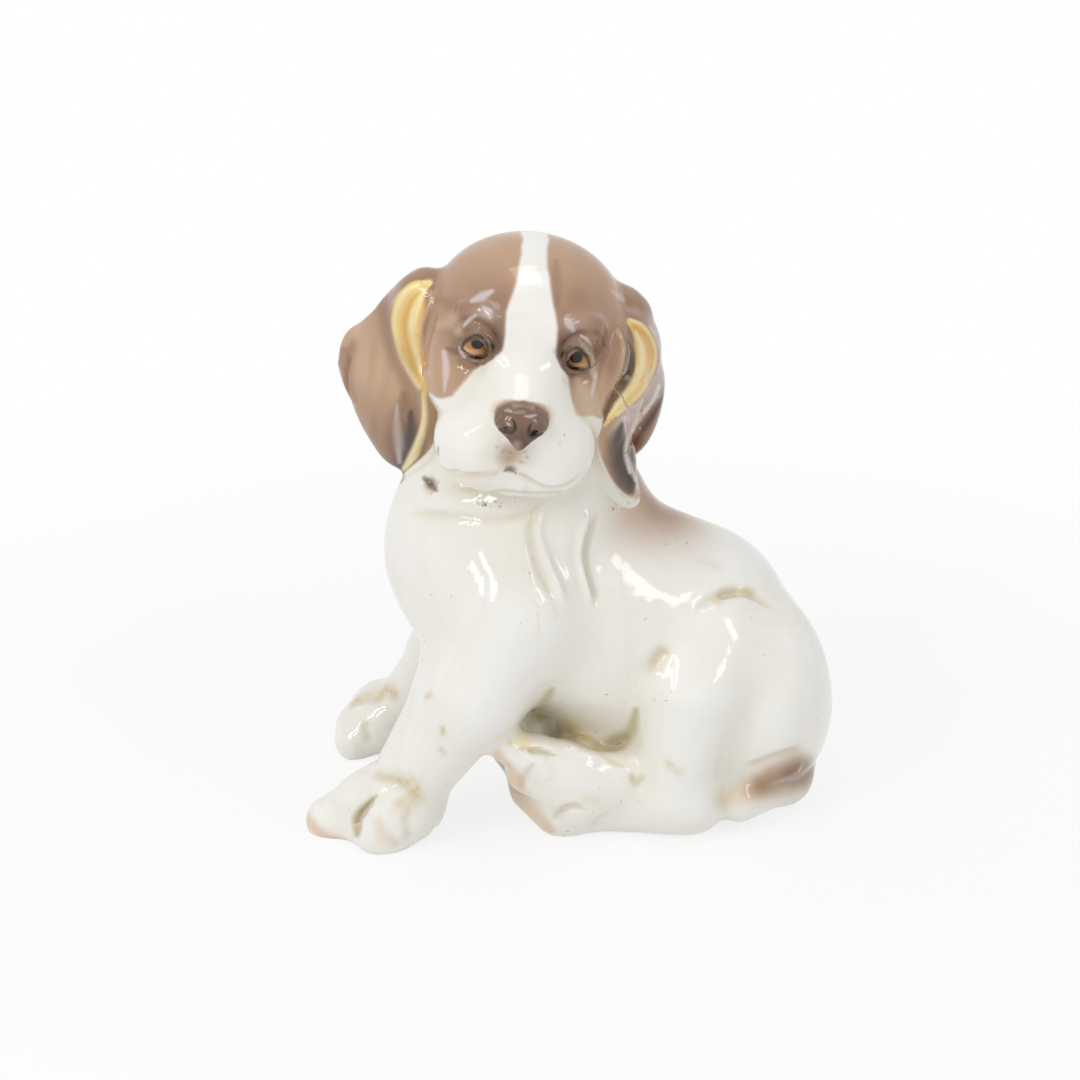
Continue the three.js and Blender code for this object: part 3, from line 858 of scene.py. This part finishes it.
# Half the nose leather's width at each height in the head's frame
NOSE_EDGE = [(-17.4, -2), (-16.4, -0.8), (-15.4, 0.4), (-14.2, 1.4), (-13.0, 2.5), (-12.2, 3.6), (-11.5, 5.0),
             (-10.6, 6.0), (-9.3, 6.4), (-8.3, 6.4), (-7.4, 6.0), (-6.5, 5.1), (-5.8, 3.9), (-5.3, 2.3),
             (-5.0, 0), (-4.6, -2)]
NOSTRILS = [[(513, 420), (515, 425), (514, 430), (509, 432), (502, 427.5)],
            [(531, 424), (529, 429), (530, 435), (534, 437.5), (539, 435)]]
NOSE_SHEENS = [[(505, 411), (508, 410), (512, 412)], [(525, 416), (530, 416.5), (536, 415)],
               [(507, 423), (510, 425.5)]]
SPECKS = [(503, 452), (508, 459), (527, 457), (521, 462), (497, 447), (514, 461), (524, 452), (511, 453)]


def paint_nose(coat):
    x, y, z = coat.face.T
    depth = np.interp(z, *np.array(NOSE_EDGE).T) - np.abs(x)
    front = soft_step(-y, 29, 31.5)
    soft = 0.3 + 0.9 * soft_step(z, -8, -5)
    leather = soft_step(depth / soft, -1, 1.4) * front
    coat.brush(TAN, soft_step(depth, -1.8, 0.4) * front * soft_step(z, -12, -7) * 0.7)
    # shading under the nose, with specks in it
    beard = coat.puff((-1.2, -37, -16.8), (4.2, 6, 3.4))
    coat.brush(BEARD, 0.95 * beard * (0.6 + 0.5 * mottle(coat.p, 1.2, 12)))
    cloud = mottle(coat.p, 2.4, 4)
    coat.brush(LEATHER, leather)
    coat.brush(DARK_LEATHER, leather * (0.35 + 0.6 * cloud) * soft_step(-z, 7, 12))
    coat.brush(DARK_LEATHER, leather * (1 - soft_step(depth, 0.3, 1.4)) * soft_step(-z, 9, 12) * 0.7)
    coat.trace(BEARD, [(517, 445), (511, 452), (506, 461)], [4, 9, 7], 0.6, 0.98)
    for path in NOSTRILS:
        coat.trace(PUPIL, path, [0.8, 1.7, 2.2, 1.9, 0.8], 0.9, 0.7)
    # painted highlights on the nose leather
    for path in NOSE_SHEENS:
        coat.trace(SHEEN, path, [0.8, 1.6, 0.8], 0.55, 0.8)
    for spot in SPECKS:
        coat.spray(DEEP_BROWN, spot, 0.38, 0.45)
    # the mouth's dimple and its lip line, darkened along the pressed groove as painted shade
    coat.trace(DEEP_BROWN, [(504, 471), (510, 469.5), (516, 473)], [0.9, 2.4, 0.9], 0.85, 0.95)
    coat.trace(TAN, [(497, 473), (483, 476), (466, 477), (450, 474)], 2.0, 0.35, 0.95)


RIGHT_EAR_TRACES = [
    (BROWN, [(352, 350), (348, 364), (347, 380), (350, 398), (358, 414)], 5.7, 0.8, 0.9),
    (DEEP_BROWN, [(343, 350), (339, 362), (337, 380), (341, 400), (350, 418)], 4.0, 0.6, 0.9),
    (DEEP_BROWN, [(382, 300), (388, 325), (392, 350), (402, 375), (414, 400), (413, 425)],
     [6.5, 8.1, 6.5, 6.5, 8.9, 9.7], 0.5, 0.9),
    (DEEP_BROWN, [(404, 395), (404, 420), (402, 445), (399, 470)], [4, 14, 20, 14], 0.7, 0.98),
    (TIP, [(411, 412), (410, 428), (409, 442), (407, 456), (402, 471)], [2, 6, 11, 12, 8], 0.9, 0.98),
    # a pale streak down the lower ear: painted highlight
    (LILAC_SHEEN, [(397, 404), (397, 425), (398, 444), (399.5, 462)], [0.8, 3.4, 4, 2], 0.75, 0.98),
    (DEEP_BROWN, [(353, 342), (349, 358), (347, 378), (352, 400)], 4, 0.45, 0.98),
    (INSIDE_EAR, [(429, 283), (417, 290), (410, 302), (407.5, 317), (408.5, 333), (412, 350), (416.5, 367),
                  (422, 382), (425, 394)],
     [3.2, 10.5, 15.4, 15.8, 13.8, 10.9, 7.7, 4.9, 2.0], 1.0, 0.16),
    (DEEP_EAR, [(423, 291), (411, 303), (406, 320), (407, 336), (412, 354)],
     [1.6, 3.0, 4.0, 3.4, 1.6], 0.6, 0.9),
    (DEEP_EAR, [(426, 300), (421, 314), (417.5, 330), (419, 348), (423, 366), (426, 384)],
     [1.6, 3.2, 3.6, 2.8, 2.4, 1.6], 0.6, 0.9),
    # a pale streak down the hollow of the ear: painted highlight
    (PALE_EAR, [(425, 290), (418, 303), (413, 318), (412, 335), (416, 354), (421, 372)],
     [2.0, 3.6, 4.0, 4.0, 3.2, 1.6], 0.95, 0.9),
    (PALE_EAR, [(418, 285), (405, 293), (397, 307), (394, 323), (397, 340), (402, 356), (410, 371),
                (420, 387)],
     2.6, 0.8, 0.9),
    (TAN, [(431, 292), (430, 303), (425, 316), (421.5, 330), (422, 346), (424.5, 362), (428, 380),
           (430, 396)],
     2.0, 0.8, 0.9),
    (PALE_EAR, [(424, 394), (425, 410), (424, 424), (420, 439), (414, 454), (405, 469)],
     [2.4, 2.8, 3.2, 4.0, 4.5, 3.2], 0.85, 0.6),
]
LEFT_EAR_TRACES = [
    # the second lobe, behind the outer fold, comes first
    (DEEP_BROWN, [(664, 392), (658, 410), (648, 430), (636, 446), (632, 462)],
     [9, 12, 13, 10, 4], 0.9, 0.7),
    # the groove behind the outer fold darkened: painted shade
    (DARK, [(665, 394), (657, 410), (643, 430), (634, 444)], 2.8, 0.7, 0.9),
    # the lilac bands on the outer fold: painted sheen
    (LILAC_SHEEN, [(626, 309), (644, 316), (657, 335), (661, 358), (660, 380)], [3, 5, 6, 6.5, 6.5], 0.4, 0.9),
    (LILAC_SHEEN, [(656, 332), (661, 350), (661, 372), (655, 390), (645, 402), (634, 412), (622, 426),
             (616, 442)],
     [2, 5, 6, 7, 7.5, 7.5, 6.5, 4.9], 0.8, 0.8),
    (TAN, [(606, 330), (602, 360), (598, 390), (596, 420), (599, 450), (612, 480)],
     [5.7, 5.7, 5.3, 4.9, 4.0, 3.2], 0.5, 0.9),
    (TIP, [(622, 424), (619, 440), (620, 458), (627, 478), (637, 495)], [2, 10, 13, 13, 7], 0.95, 0.8),
    # a lilac touch on the tip: painted sheen
    (LILAC_SHEEN, [(628, 456), (631, 468), (635, 480)], [1.2, 3.2, 1.6], 0.6, 0.9),
    # the trough inside the ear darkened: painted shade
    (HOLLOW, [(625, 340), (630, 354), (628, 370), (621, 387), (612, 403), (603, 420)],
     [2.4, 6.1, 8.1, 8.1, 6.5, 4.0], 0.95, 0.5),
    (TAN, [(617, 330), (624, 346), (620, 372), (610, 391), (600, 411), (597, 430)], 2.2, 0.8, 0.9),
    (INSIDE_EAR, [(629, 321), (638, 329), (644, 341), (646, 356), (644, 371), (637, 386), (626, 400),
                  (614, 413), (605, 425)],
     [3.2, 7.7, 10.1, 10.1, 8.5, 7.3, 5.7, 4.0, 1.6], 1.0, 0.2),
    (DEEP_EAR, [(634, 326), (645, 336), (650, 350), (648, 366), (641, 381)],
     [2.4, 5.3, 5.3, 3.6, 1.6], 0.8, 0.9),
    (PALE_EAR, [(636, 332), (641, 345), (642, 360), (639, 374), (630, 389), (618, 404), (608, 418)],
     [1.2, 2.8, 3.6, 3.6, 3.2, 2.4, 1.2], 0.9, 0.9),
    (PALE_EAR, [(631, 320), (642, 325), (652, 339), (656, 355), (652, 374), (643, 391), (630, 404),
                (617, 415)],
     1.6, 0.75, 0.9),
    (CREAM, [(659, 386), (652, 402), (636, 422), (628, 439), (626, 455), (630, 472)], 1.8, 0.85, 0.9),
]


def paint_right_ear(coat):
    ear = 1 - soft_step(right_ear_form(coat.p) - figure_form(coat.p), -0.6, 0.8)
    z = coat.face[:, 2]
    streaks = mottle(coat.face * (1.2, 1.2, 0.25), 2.4, 6)
    cloud = mottle(coat.p, 8, 5) * 0.5 + streaks * 0.5
    coat.brush(BROWN, ear)
    coat.brush(TAN, ear * (0.2 + 0.8 * cloud))
    coat.brush(DEEP_BROWN, ear * soft_step(z, -16, 4) * (0.3 + 0.6 * streaks))
    coat.brush(DEEP_BROWN, ear * soft_step(-z, 22, 40) * (0.35 + 0.4 * streaks))
    coat.traces(RIGHT_EAR_TRACES, ear)


def paint_left_ear(coat):
    ear = 1 - soft_step(left_ear_form(coat.p) - figure_form(coat.p), -0.6, 0.8)
    z = coat.face[:, 2]
    streaks = mottle(coat.face * (1.2, 1.2, 0.25), 2.4, 8)
    cloud = mottle(coat.p, 6, 7) * 0.5 + streaks * 0.5
    coat.brush(BROWN, ear)
    coat.brush(TAN, ear * 0.7 * cloud)
    coat.brush(DEEP_BROWN, ear * soft_step(z, -12, 2) * (0.3 + 0.6 * streaks))
    coat.traces(LEFT_EAR_TRACES, ear)
    # the neck beside the ear is kept clean
    coat.trace(CREAM, [(593, 436), (597, 462), (610, 490), (625, 506), (646, 510)], [3, 5.5, 7, 10, 11],
               1.0, 0.25)


# the belly hollow: olive painted shade along its lower edge, with a stain in it
HOLLOW_TRACES = [
    (POOLED_GLAZE_AND_SHADE, [(552, 690), (540, 706), (528, 722)], [3, 8, 7], 0.6, 0.98),
    (POOLED_GLAZE_AND_SHADE, [(540, 716), (556, 729), (575, 736), (590, 742), (606, 744), (622, 739), (632, 728),
              (636, 710)],
     [4, 6, 7, 8, 8, 7, 5.5, 3], 0.75, 0.9),
    (STAIN, [(566, 722), (578, 732), (590, 738)], [3, 5, 3], 0.4, 0.98),
]
# Old stains: path, width, strength
STAINS = [
    ([(398, 780), (412, 786), (414, 798), (404, 806)], 2.4, 0.9),
    ([(414, 792), (415, 797)], 1.2, 0.7),
    ([(718, 599), (730, 593), (742, 590), (752, 593)], 1.4, 1.0),
    ([(662, 651), (654, 660), (648, 668)], 1.5, 0.6),
    ([(632, 776), (637, 784), (642, 777)], 0.8, 0.9),
    ([(668, 764), (678, 772)], 1.4, 0.5),
    ([(376, 695), (385, 690), (394, 693)], 2.0, 0.7),
    ([(352, 704), (358, 698), (366, 696)], 1.6, 0.7),
    ([(374, 775), (386, 780), (398, 783)], 1.2, 0.5),
    ([(443, 729), (443, 733)], 0.8, 0.8),
    ([(441, 750), (443, 754)], 0.8, 0.8),
    ([(426, 697), (430, 695)], 0.9, 0.6),
    ([(585, 798), (596, 801)], 1.4, 0.3),
    ([(546, 585), (552, 600), (556, 616)], 1.0, 0.3),
    ([(700, 560), (716, 566)], 1.5, 0.25),
]
PAW_TRACES = [
    (TOE, [(302, 806), (308, 821), (326, 837), (350, 843)], [4, 5.5, 5, 2], 0.95, 0.9),
    (TOE, [(378, 822), (383, 834), (394, 842)], [5, 7, 4], 0.55, 0.98),
    # these two darken the gap between the toes: painted shade, with glaze pooled in it
    (POOLED_GLAZE_AND_SHADE, [(377, 795), (366, 806), (357, 818), (357, 834)], [1, 3, 4.5, 3], 0.95, 0.9),
    (HOLLOW, [(372, 800), (362, 811), (357, 822)], [0.6, 1.8, 1.5], 0.4, 0.95),
]
FOOT_TRACES = [
    (TOE, [(497, 738), (496, 752), (505, 768), (518, 781)], [3, 6, 8, 6], 0.9, 0.6),
    (TOE, [(512, 778), (519, 796), (532, 814), (549, 830)], [7, 9, 9, 6], 0.9, 0.7),
    (BEARD, [(532, 765), (525, 774), (521, 785)], [2, 4, 3], 0.35, 0.98),
    (PALE_EAR, [(503, 730), (514, 737), (528, 744)], [4, 7, 4], 0.7, 0.95),
    (DEEP_EAR, [(503, 738), (509, 742)], 2.6, 0.5, 0.95),
    (STAIN, [(520, 748), (530, 749), (540, 748)], [1.2, 2.4, 1.2], 0.6, 0.95),
    # these two darken the creases between the toes: painted shade
    (POOLED_GLAZE_AND_SHADE, [(527, 752), (540, 752), (556, 755)], [0.8, 1.6, 0.8], 0.55, 0.95),
    (BEARD, [(562, 812), (574, 807), (588, 809)], [0.8, 1.4, 0.8], 0.3, 0.9),
    (STAIN, [(600, 754), (612, 762), (622, 766)], [1, 3, 2], 0.35, 0.95),
]
TAIL_TRACES = [
    (BEIGE, [(724, 800), (745, 792), (768, 783)], [9, 12, 14], 0.7, 0.98),
    (TAN, [(752, 790), (772, 781), (792, 774)], [9, 14, 16], 0.7, 0.98),
    (TAIL, [(762, 785), (778, 779), (799, 773)], [9, 13, 16], 0.7, 0.98),
    (DEEP_BROWN, [(792, 775), (800, 772), (806, 769)], [9, 10, 10], 0.8, 0.98),
]
SPINE = [(0, 14, 96), (2, 22, 88), (-1, 29, 80), (-4, 38, 74), (-4, 46, 66)]


def paint_body(coat):
    x, y = coat.p[:, 0], coat.p[:, 1]
    cloud = mottle(coat.p, 8, 9) * 0.6 + mottle(coat.p, 3, 10) * 0.4
    paint_hollows(coat)
    off, along = away_from(follow(SPINE, coat.form), coat.p)
    saddle = np.exp(-(off / (17 - 8 * along)) ** 2) * (1 - soft_step(along, 0.4, 1.0)) * soft_step(y, 6, 18)
    coat.brush(TAN, saddle * 0.95)
    coat.brush(BROWN, saddle ** 1.4 * (0.7 + 0.5 * cloud))
    coat.brush(DEEP_BROWN, saddle ** 3 * (0.2 + 0.4 * cloud))
    coat.spray(TAN, (625, 515), 7, 0.35)
    # a trace is laid on along the line of sight, so each is kept off what lies before or behind its place
    on_leg, on_foot = left_foreleg_form(coat.p), np.where(y < 40, left_hind_form(coat.p), 9)
    coat.traces(HOLLOW_TRACES, soft_step(on_leg, 0.5, 2.5) * (x > -14))
    for path, width, strength in STAINS:
        coat.smear(STAIN, path, width, strength)
    coat.traces(PAW_TRACES, 1 - soft_step(on_leg, 0.3, 1.2))
    coat.traces(FOOT_TRACES, 1 - soft_step(on_foot, 0.4, 1.6))
    coat.traces(TAIL_TRACES, x > 0)
    paint_neck(coat)


def paint_neck(coat):
    """Painted shade in the pit under the right ear, and two dark spots on the cheek."""
    coat.trace(HOLLOW, [(424, 478), (430, 483), (436, 490)], [2, 4.5, 2], 0.8, 0.9)
    coat.trace(DARK, [(427, 481), (431, 485)], 2.2, 0.6, 0.9)
    coat.spray(HOLLOW, (438, 449), 0.7, 0.7)
    coat.spray(HOLLOW, (437.5, 453), 0.8, 0.7)


def keep_on_skin(skin, coat):
    """Keeps the paint and the skin's own normals with its points, through every cut."""
    paint = skin.data.attributes.new("paint", "FLOAT_COLOR", "POINT")
    opaque = np.ones((len(coat.p), 1))
    paint.data.foreach_set("color", np.hstack([coat.colour, opaque]).astype(np.float32).ravel())
    ease = skin.data.attributes.new("ease", "FLOAT_VECTOR", "POINT")
    ease.data.foreach_set("vector", vertex_normals(skin).ravel())


# The two skins, shaped, tooled and painted


def pick_faces(skin, chosen):
    """Goes into edit mode with only the chosen faces selected."""
    bpy.context.tool_settings.mesh_select_mode = (False, False, True)
    clear_selection()
    bpy.context.view_layer.objects.active = skin
    skin.select_set(True)
    mesh = skin.data
    mesh.vertices.foreach_set("select", np.zeros(len(mesh.vertices), bool))
    mesh.edges.foreach_set("select", np.zeros(len(mesh.edges), bool))
    mesh.polygons.foreach_set("select", chosen)
    bpy.ops.object.mode_set(mode="EDIT")


def finer(skin, spots):
    """Halves the faces near spots of the head: place in its frame, and reach."""
    at = middles(skin)
    near = np.zeros(len(at), bool)
    for spot, reach in spots:
        near |= np.linalg.norm(at - np.array(HEAD @ Vector(spot)), axis=1) < reach
    pick_faces(skin, near)
    bpy.ops.mesh.subdivide(number_cuts=1)
    bpy.ops.object.mode_set(mode="OBJECT")


bust = fuse("bust", [*skull_lumps, *nose_lumps, *eyeballs, *eyelids, neck_lump, *right_ear_lumps,
                     *left_ear_lumps], BUST_GRAIN)
move_to(bust, settle(bust_form, places(bust)))
finer(bust, [(EYES[0], 6.5), (EYES[1], 6.5), (NOSE, 7)])
p, lift = tool(settle(bust_form, places(bust), 4), bust_form,
               face_strokes + ear_strokes + neck_strokes + fold_strokes)
move_to(bust, p)
coat = Coat(p, bust_form, lift)
for paint in (paint_hollows, paint_neck, paint_patches, paint_nose, paint_eyes, paint_right_ear,
              paint_left_ear):
    paint(coat)
keep_on_skin(bust, coat)

trunk = fuse("trunk", [*body_lumps, neck_lump, *left_foreleg_lumps, *right_foreleg_lumps, *left_hind_lumps,
                       *right_hind_lumps, *tail_lumps], TRUNK_GRAIN)
p, lift = tool(settle(figure_form, places(trunk)), figure_form,
               face_strokes + neck_strokes + fold_strokes + body_strokes + paw_strokes)
p[:, 2] = np.maximum(p[:, 2], 0)
move_to(trunk, p)
coat = Coat(p, figure_form, lift)
paint_body(coat)
keep_on_skin(trunk, coat)

# Cutting the skins into the castings

NECK_JOINT = (0, -4, 98)
NECK_AXIS = (0.33, 0, 0.94)
CAP = 20    # a face with at least this many corners closes a cut
RIM_DEPTH, HUB_DEPTH = 1.2, 3.5


def corner_counts(piece):
    return read(piece.data.polygons, "loop_total", 1, np.int32)


def casting(skin, name, keep, above_neck=None):
    """The kept faces of a skin as one closed casting, cut at the neck joint if asked."""
    piece = skin.copy()
    piece.data = skin.data.copy()
    piece.name = piece.data.name = name
    bpy.context.scene.collection.objects.link(piece)
    pick_faces(piece, ~keep)
    bpy.ops.mesh.delete(type="FACE")
    bpy.ops.mesh.select_all(action="SELECT")
    if above_neck is not None:
        bpy.ops.mesh.bisect(plane_co=NECK_JOINT, plane_no=NECK_AXIS, clear_inner=above_neck,
                            clear_outer=not above_neck, use_fill=False)
        bpy.ops.mesh.select_all(action="SELECT")
    bpy.ops.mesh.fill_holes(sides=0)
    bpy.ops.object.mode_set(mode="OBJECT")
    corners = corner_counts(piece)
    pick_faces(piece, (corners > 4) & (corners < CAP))
    bpy.ops.mesh.quads_convert_to_tris()
    bpy.ops.object.mode_set(mode="OBJECT")
    # each cap goes under the skin, its rim a little and its hub well, so that none shows
    for operator, form, depth in ((bpy.ops.mesh.extrude_region, bust_form, RIM_DEPTH),
                                  (bpy.ops.mesh.poke, figure_form, HUB_DEPTH)):
        before = len(piece.data.vertices)
        pick_faces(piece, corner_counts(piece) >= CAP)
        operator()
        bpy.ops.object.mode_set(mode="OBJECT")
        p = places(piece)
        new = p[before:]
        here = form(new)
        up = slope(form, new, here)
        p[before:] = new - up / np.maximum(length(up), 1e-6)[:, None] * np.maximum(here + depth, 0)[:, None]
        move_to(piece, p)
    return piece


def nearest(skin, forms):
    """Which form each face of a skin is deepest in."""
    return np.argmin([form(middles(skin)) for form in forms], axis=0)


def give_joins_to_ears(skin, parts):
    """Below the neck joint the soft join between an ear and the neck belongs to the ear."""
    at = middles(skin)
    below = (at - NECK_JOINT) @ np.array(NECK_AXIS) < 1.5
    ears = np.array([right_ear_form(at), left_ear_form(at)])
    joins = (parts == 0) & below & (figure_form(at) > 0.02) & (ears.min(0) < 4)
    parts[joins] = 1 + np.argmin(ears[:, joins], axis=0)
    return parts


head_parts = give_joins_to_ears(bust, nearest(bust, [figure_form, right_ear_form, left_ear_form]))
trunk_forms = {"torso": torso_form, "left_foreleg": left_foreleg_form, "right_foreleg": right_foreleg_form,
               "left_hind_leg": left_hind_form, "right_hind_leg": right_hind_form, "tail": tail_form}
trunk_parts = nearest(trunk, trunk_forms.values())
castings = {"head": casting(bust, "head_casting", head_parts == 0, above_neck=True),
            "right_ear": casting(bust, "right_ear_casting", head_parts == 1),
            "left_ear": casting(bust, "left_ear_casting", head_parts == 2)}
for i, name in enumerate(trunk_forms):
    above_neck = False if name == "torso" else None
    castings[name] = casting(trunk, name + "_casting", trunk_parts == i, above_neck)
for skin in (bust, trunk):
    bpy.data.objects.remove(skin)

# Drain hole in the flat underside

DRAIN_AT, DRAIN_RADIUS = (0, 33), 5.5
clear_selection()
bpy.ops.mesh.primitive_cylinder_add(vertices=48, radius=DRAIN_RADIUS, depth=14, location=(*DRAIN_AT, 0))
bit = bpy.context.object
bore = castings["torso"].modifiers.new("drain", "BOOLEAN")
bore.operation, bore.object, bore.solver = "DIFFERENCE", bit, "EXACT"
clear_selection()
bpy.context.view_layer.objects.active = castings["torso"]
bpy.ops.object.modifier_apply(modifier=bore.name)
bpy.data.objects.remove(bit)

# Glazes


class Signal:
    """A number that runs through a material. Its arithmetic is done by Math nodes."""

    def __init__(self, recipe, socket):
        self.recipe, self.socket = recipe, socket

    def math(self, operation, *terms):
        return self.recipe.add("ShaderNodeMath", dict(enumerate(terms)), operation=operation)

    def __add__(self, other):
        return self.math("ADD", self, other)

    def __sub__(self, other):
        return self.math("SUBTRACT", self, other)

    def __rsub__(self, other):
        return self.math("SUBTRACT", other, self)

    def __mul__(self, other):
        return self.math("MULTIPLY", self, other)

    __radd__, __rmul__ = __add__, __mul__

    def step(self, low, high, least=0, most=1):
        """The least under low, the most over high, soft between."""
        return self.recipe.add("ShaderNodeMapRange", {0: self, 1: low, 2: high, 3: least, 4: most},
                               interpolation_type="SMOOTHSTEP")


class Recipe:
    """The nodes of a material or of the world, put together one by one."""

    def __init__(self, owner):
        owner.use_nodes = True
        self.tree = owner.node_tree

    def inputs(self, name):
        return self.tree.nodes[name].inputs

    def add(self, kind, inputs, output=0, **settings):
        node = self.tree.nodes.new(kind)
        for setting, value in settings.items():
            setattr(node, setting, value)
        for key, value in inputs.items():
            self.feed(node.inputs[key], value)
        return Signal(self, node.outputs[output])

    def feed(self, socket, value):
        if isinstance(value, Signal):
            self.tree.links.new(value.socket, socket)
        else:
            socket.default_value = value

    def mix(self, blend, share, under, over):
        return self.add("ShaderNodeMix", {0: share, 6: under, 7: over}, 2, data_type="RGBA", blend_type=blend)

    def noise(self, at, scale, detail=2.0):
        return self.add("ShaderNodeTexNoise", {"Vector": at, "Scale": scale, "Detail": detail})


def glaze(name, speckle, waviness, roughness):
    """Clear glaze over the painted clay, with specks in it, slightly wavy and finely pitted."""
    material = bpy.data.materials.new(name)
    recipe = Recipe(material)
    shader = recipe.inputs("Principled BSDF")
    at = recipe.add("ShaderNodeTexCoord", {}, "Object")
    paint = recipe.add("ShaderNodeAttribute", {}, attribute_name="paint")
    cloud = recipe.noise(at, 70)
    tone = recipe.mix("MULTIPLY", (cloud - 0.35) * 0.35, paint, (0.93, 0.905, 0.86, 1))
    specks = recipe.noise(at, 900, 0.0).step(0.78, 0.88) * recipe.noise(at, 60).step(0.5, 0.62) * speckle
    recipe.feed(shader["Base Color"], recipe.mix("MIX", specks, tone, (0.17, 0.09, 0.05, 1)))
    recipe.feed(shader["Roughness"], roughness + recipe.noise(at, 130) * 0.06)
    relief = recipe.noise(at, 75, 1.0) * waviness + recipe.noise(at, 420, 1.0) * waviness * 0.12
    bumps = recipe.add("ShaderNodeBump", {"Height": relief, "Strength": 1.0, "Distance": 0.0006})
    recipe.feed(shader["Normal"], bumps)
    recipe.feed(shader["IOR"], 1.5)
    return material


glazes = {"white_glaze": glaze("white_glaze", 0.45, 0.9, 0.05),
          "brown_glaze": glaze("brown_glaze", 0.3, 1.1, 0.06)}

for node, piece in castings.items():
    move_to(piece, np.clip((places(piece) + HOME) * MM, cad_box[0], cad_box[1]))
    slot = "brown_glaze" if node.endswith("ear") else "white_glaze"
    piece.data.materials.clear()
    piece.data.materials.append(glazes[slot])
    piece.data.polygons.foreach_set("material_index", np.zeros(len(piece.data.polygons), np.int32))
    piece.data.polygons.foreach_set("use_smooth", np.ones(len(piece.data.polygons), bool))
    normals = read(piece.data.attributes["ease"].data, "vector", kind=np.float32)
    bare = np.linalg.norm(normals, axis=1) < 0.3
    normals[bare] = vertex_normals(piece)[bare]
    piece.data.normals_split_custom_set_from_vertices(normals)
    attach(piece, "root")
    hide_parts(node)

# Camera, light and floor

camera = bpy.data.objects.new("camera", bpy.data.cameras.new("camera"))
bpy.context.scene.collection.objects.link(camera)
camera.matrix_world = Matrix.Translation((LENS + HOME) * MM) @ Matrix(np.stack([RIGHT, UP, BACK], 1)).to_4x4()
camera.data.sensor_width = SENSOR
camera.data.lens = SENSOR * FOCAL / PICTURE
camera.data.shift_x = (PICTURE / 2 - AIM_IN_PICTURE[0]) / PICTURE
camera.data.shift_y = (AIM_IN_PICTURE[1] - PICTURE / 2) / PICTURE
camera.data.clip_start = 0.01
bpy.context.scene.camera = camera

FILL = 0.56     # how bright the surroundings light the figure, where the lens sees white


def seen_by_lens(recipe):
    """1 where a ray comes from the lens or out of a reflection, else 0."""
    direct = recipe.add("ShaderNodeLightPath", {}, "Is Camera Ray")
    mirrored = recipe.add("ShaderNodeLightPath", {}, "Is Glossy Ray")
    return direct.math("MAXIMUM", direct, mirrored)


world = bpy.data.worlds.new("studio")
bpy.context.scene.world = world
bpy.context.scene.view_settings.view_transform = "Standard"
sky = Recipe(world)
sky.feed(sky.inputs("Background")["Color"], (1, 1, 1, 1))
sky.feed(sky.inputs("Background")["Strength"], seen_by_lens(sky).step(0, 1, FILL, 1))


def softbox(name, at, size, power):
    light = bpy.data.lights.new(name, "AREA")
    light.shape, light.size, light.size_y, light.energy = "RECTANGLE", size[0], size[1], power
    lamp = bpy.data.objects.new(name, light)
    bpy.context.scene.collection.objects.link(lamp)
    lamp.location = at
    lamp.rotation_euler = (Vector((0, 0, 0.08)) - Vector(at)).to_track_quat("-Z", "Y").to_euler()


softbox("left_window", (0.62, -0.7, 0.7), (0.1, 0.55), 1.9)
softbox("left_window_2", (0.42, -0.85, 0.7), (0.1, 0.55), 1.9)
softbox("right_window", (0.8, 0.6, 0.6), (0.18, 0.5), 1.4)
softbox("top_softbox", (0.1, 0.0, 1.1), (0.45, 0.45), 1.5)

bpy.ops.mesh.primitive_plane_add(size=6, location=(0, 0, 0))
floor = bpy.context.object
floor.name = "floor"
paper = bpy.data.materials.new("paper")
sheet = Recipe(paper)
sheet.feed(sheet.inputs("Principled BSDF")["Base Color"], (0.9, 0.9, 0.9, 1))
sheet.feed(sheet.inputs("Principled BSDF")["Roughness"], 0.9)
dull = Signal(sheet, sheet.tree.nodes["Principled BSDF"].outputs[0])
lit = sheet.add("ShaderNodeEmission", {})
at = sheet.add("ShaderNodeTexCoord", {}, "Object")
away = sheet.add("ShaderNodeVectorMath", {0: at}, "Value", operation="LENGTH")
share = away.step(0.06, 0.35, 0.8, 1) * seen_by_lens(sheet)
blend = sheet.add("ShaderNodeMixShader", {0: share, 1: dull, 2: lit})
sheet.feed(sheet.inputs("Material Output")["Surface"], blend)
floor.data.materials.append(paper)
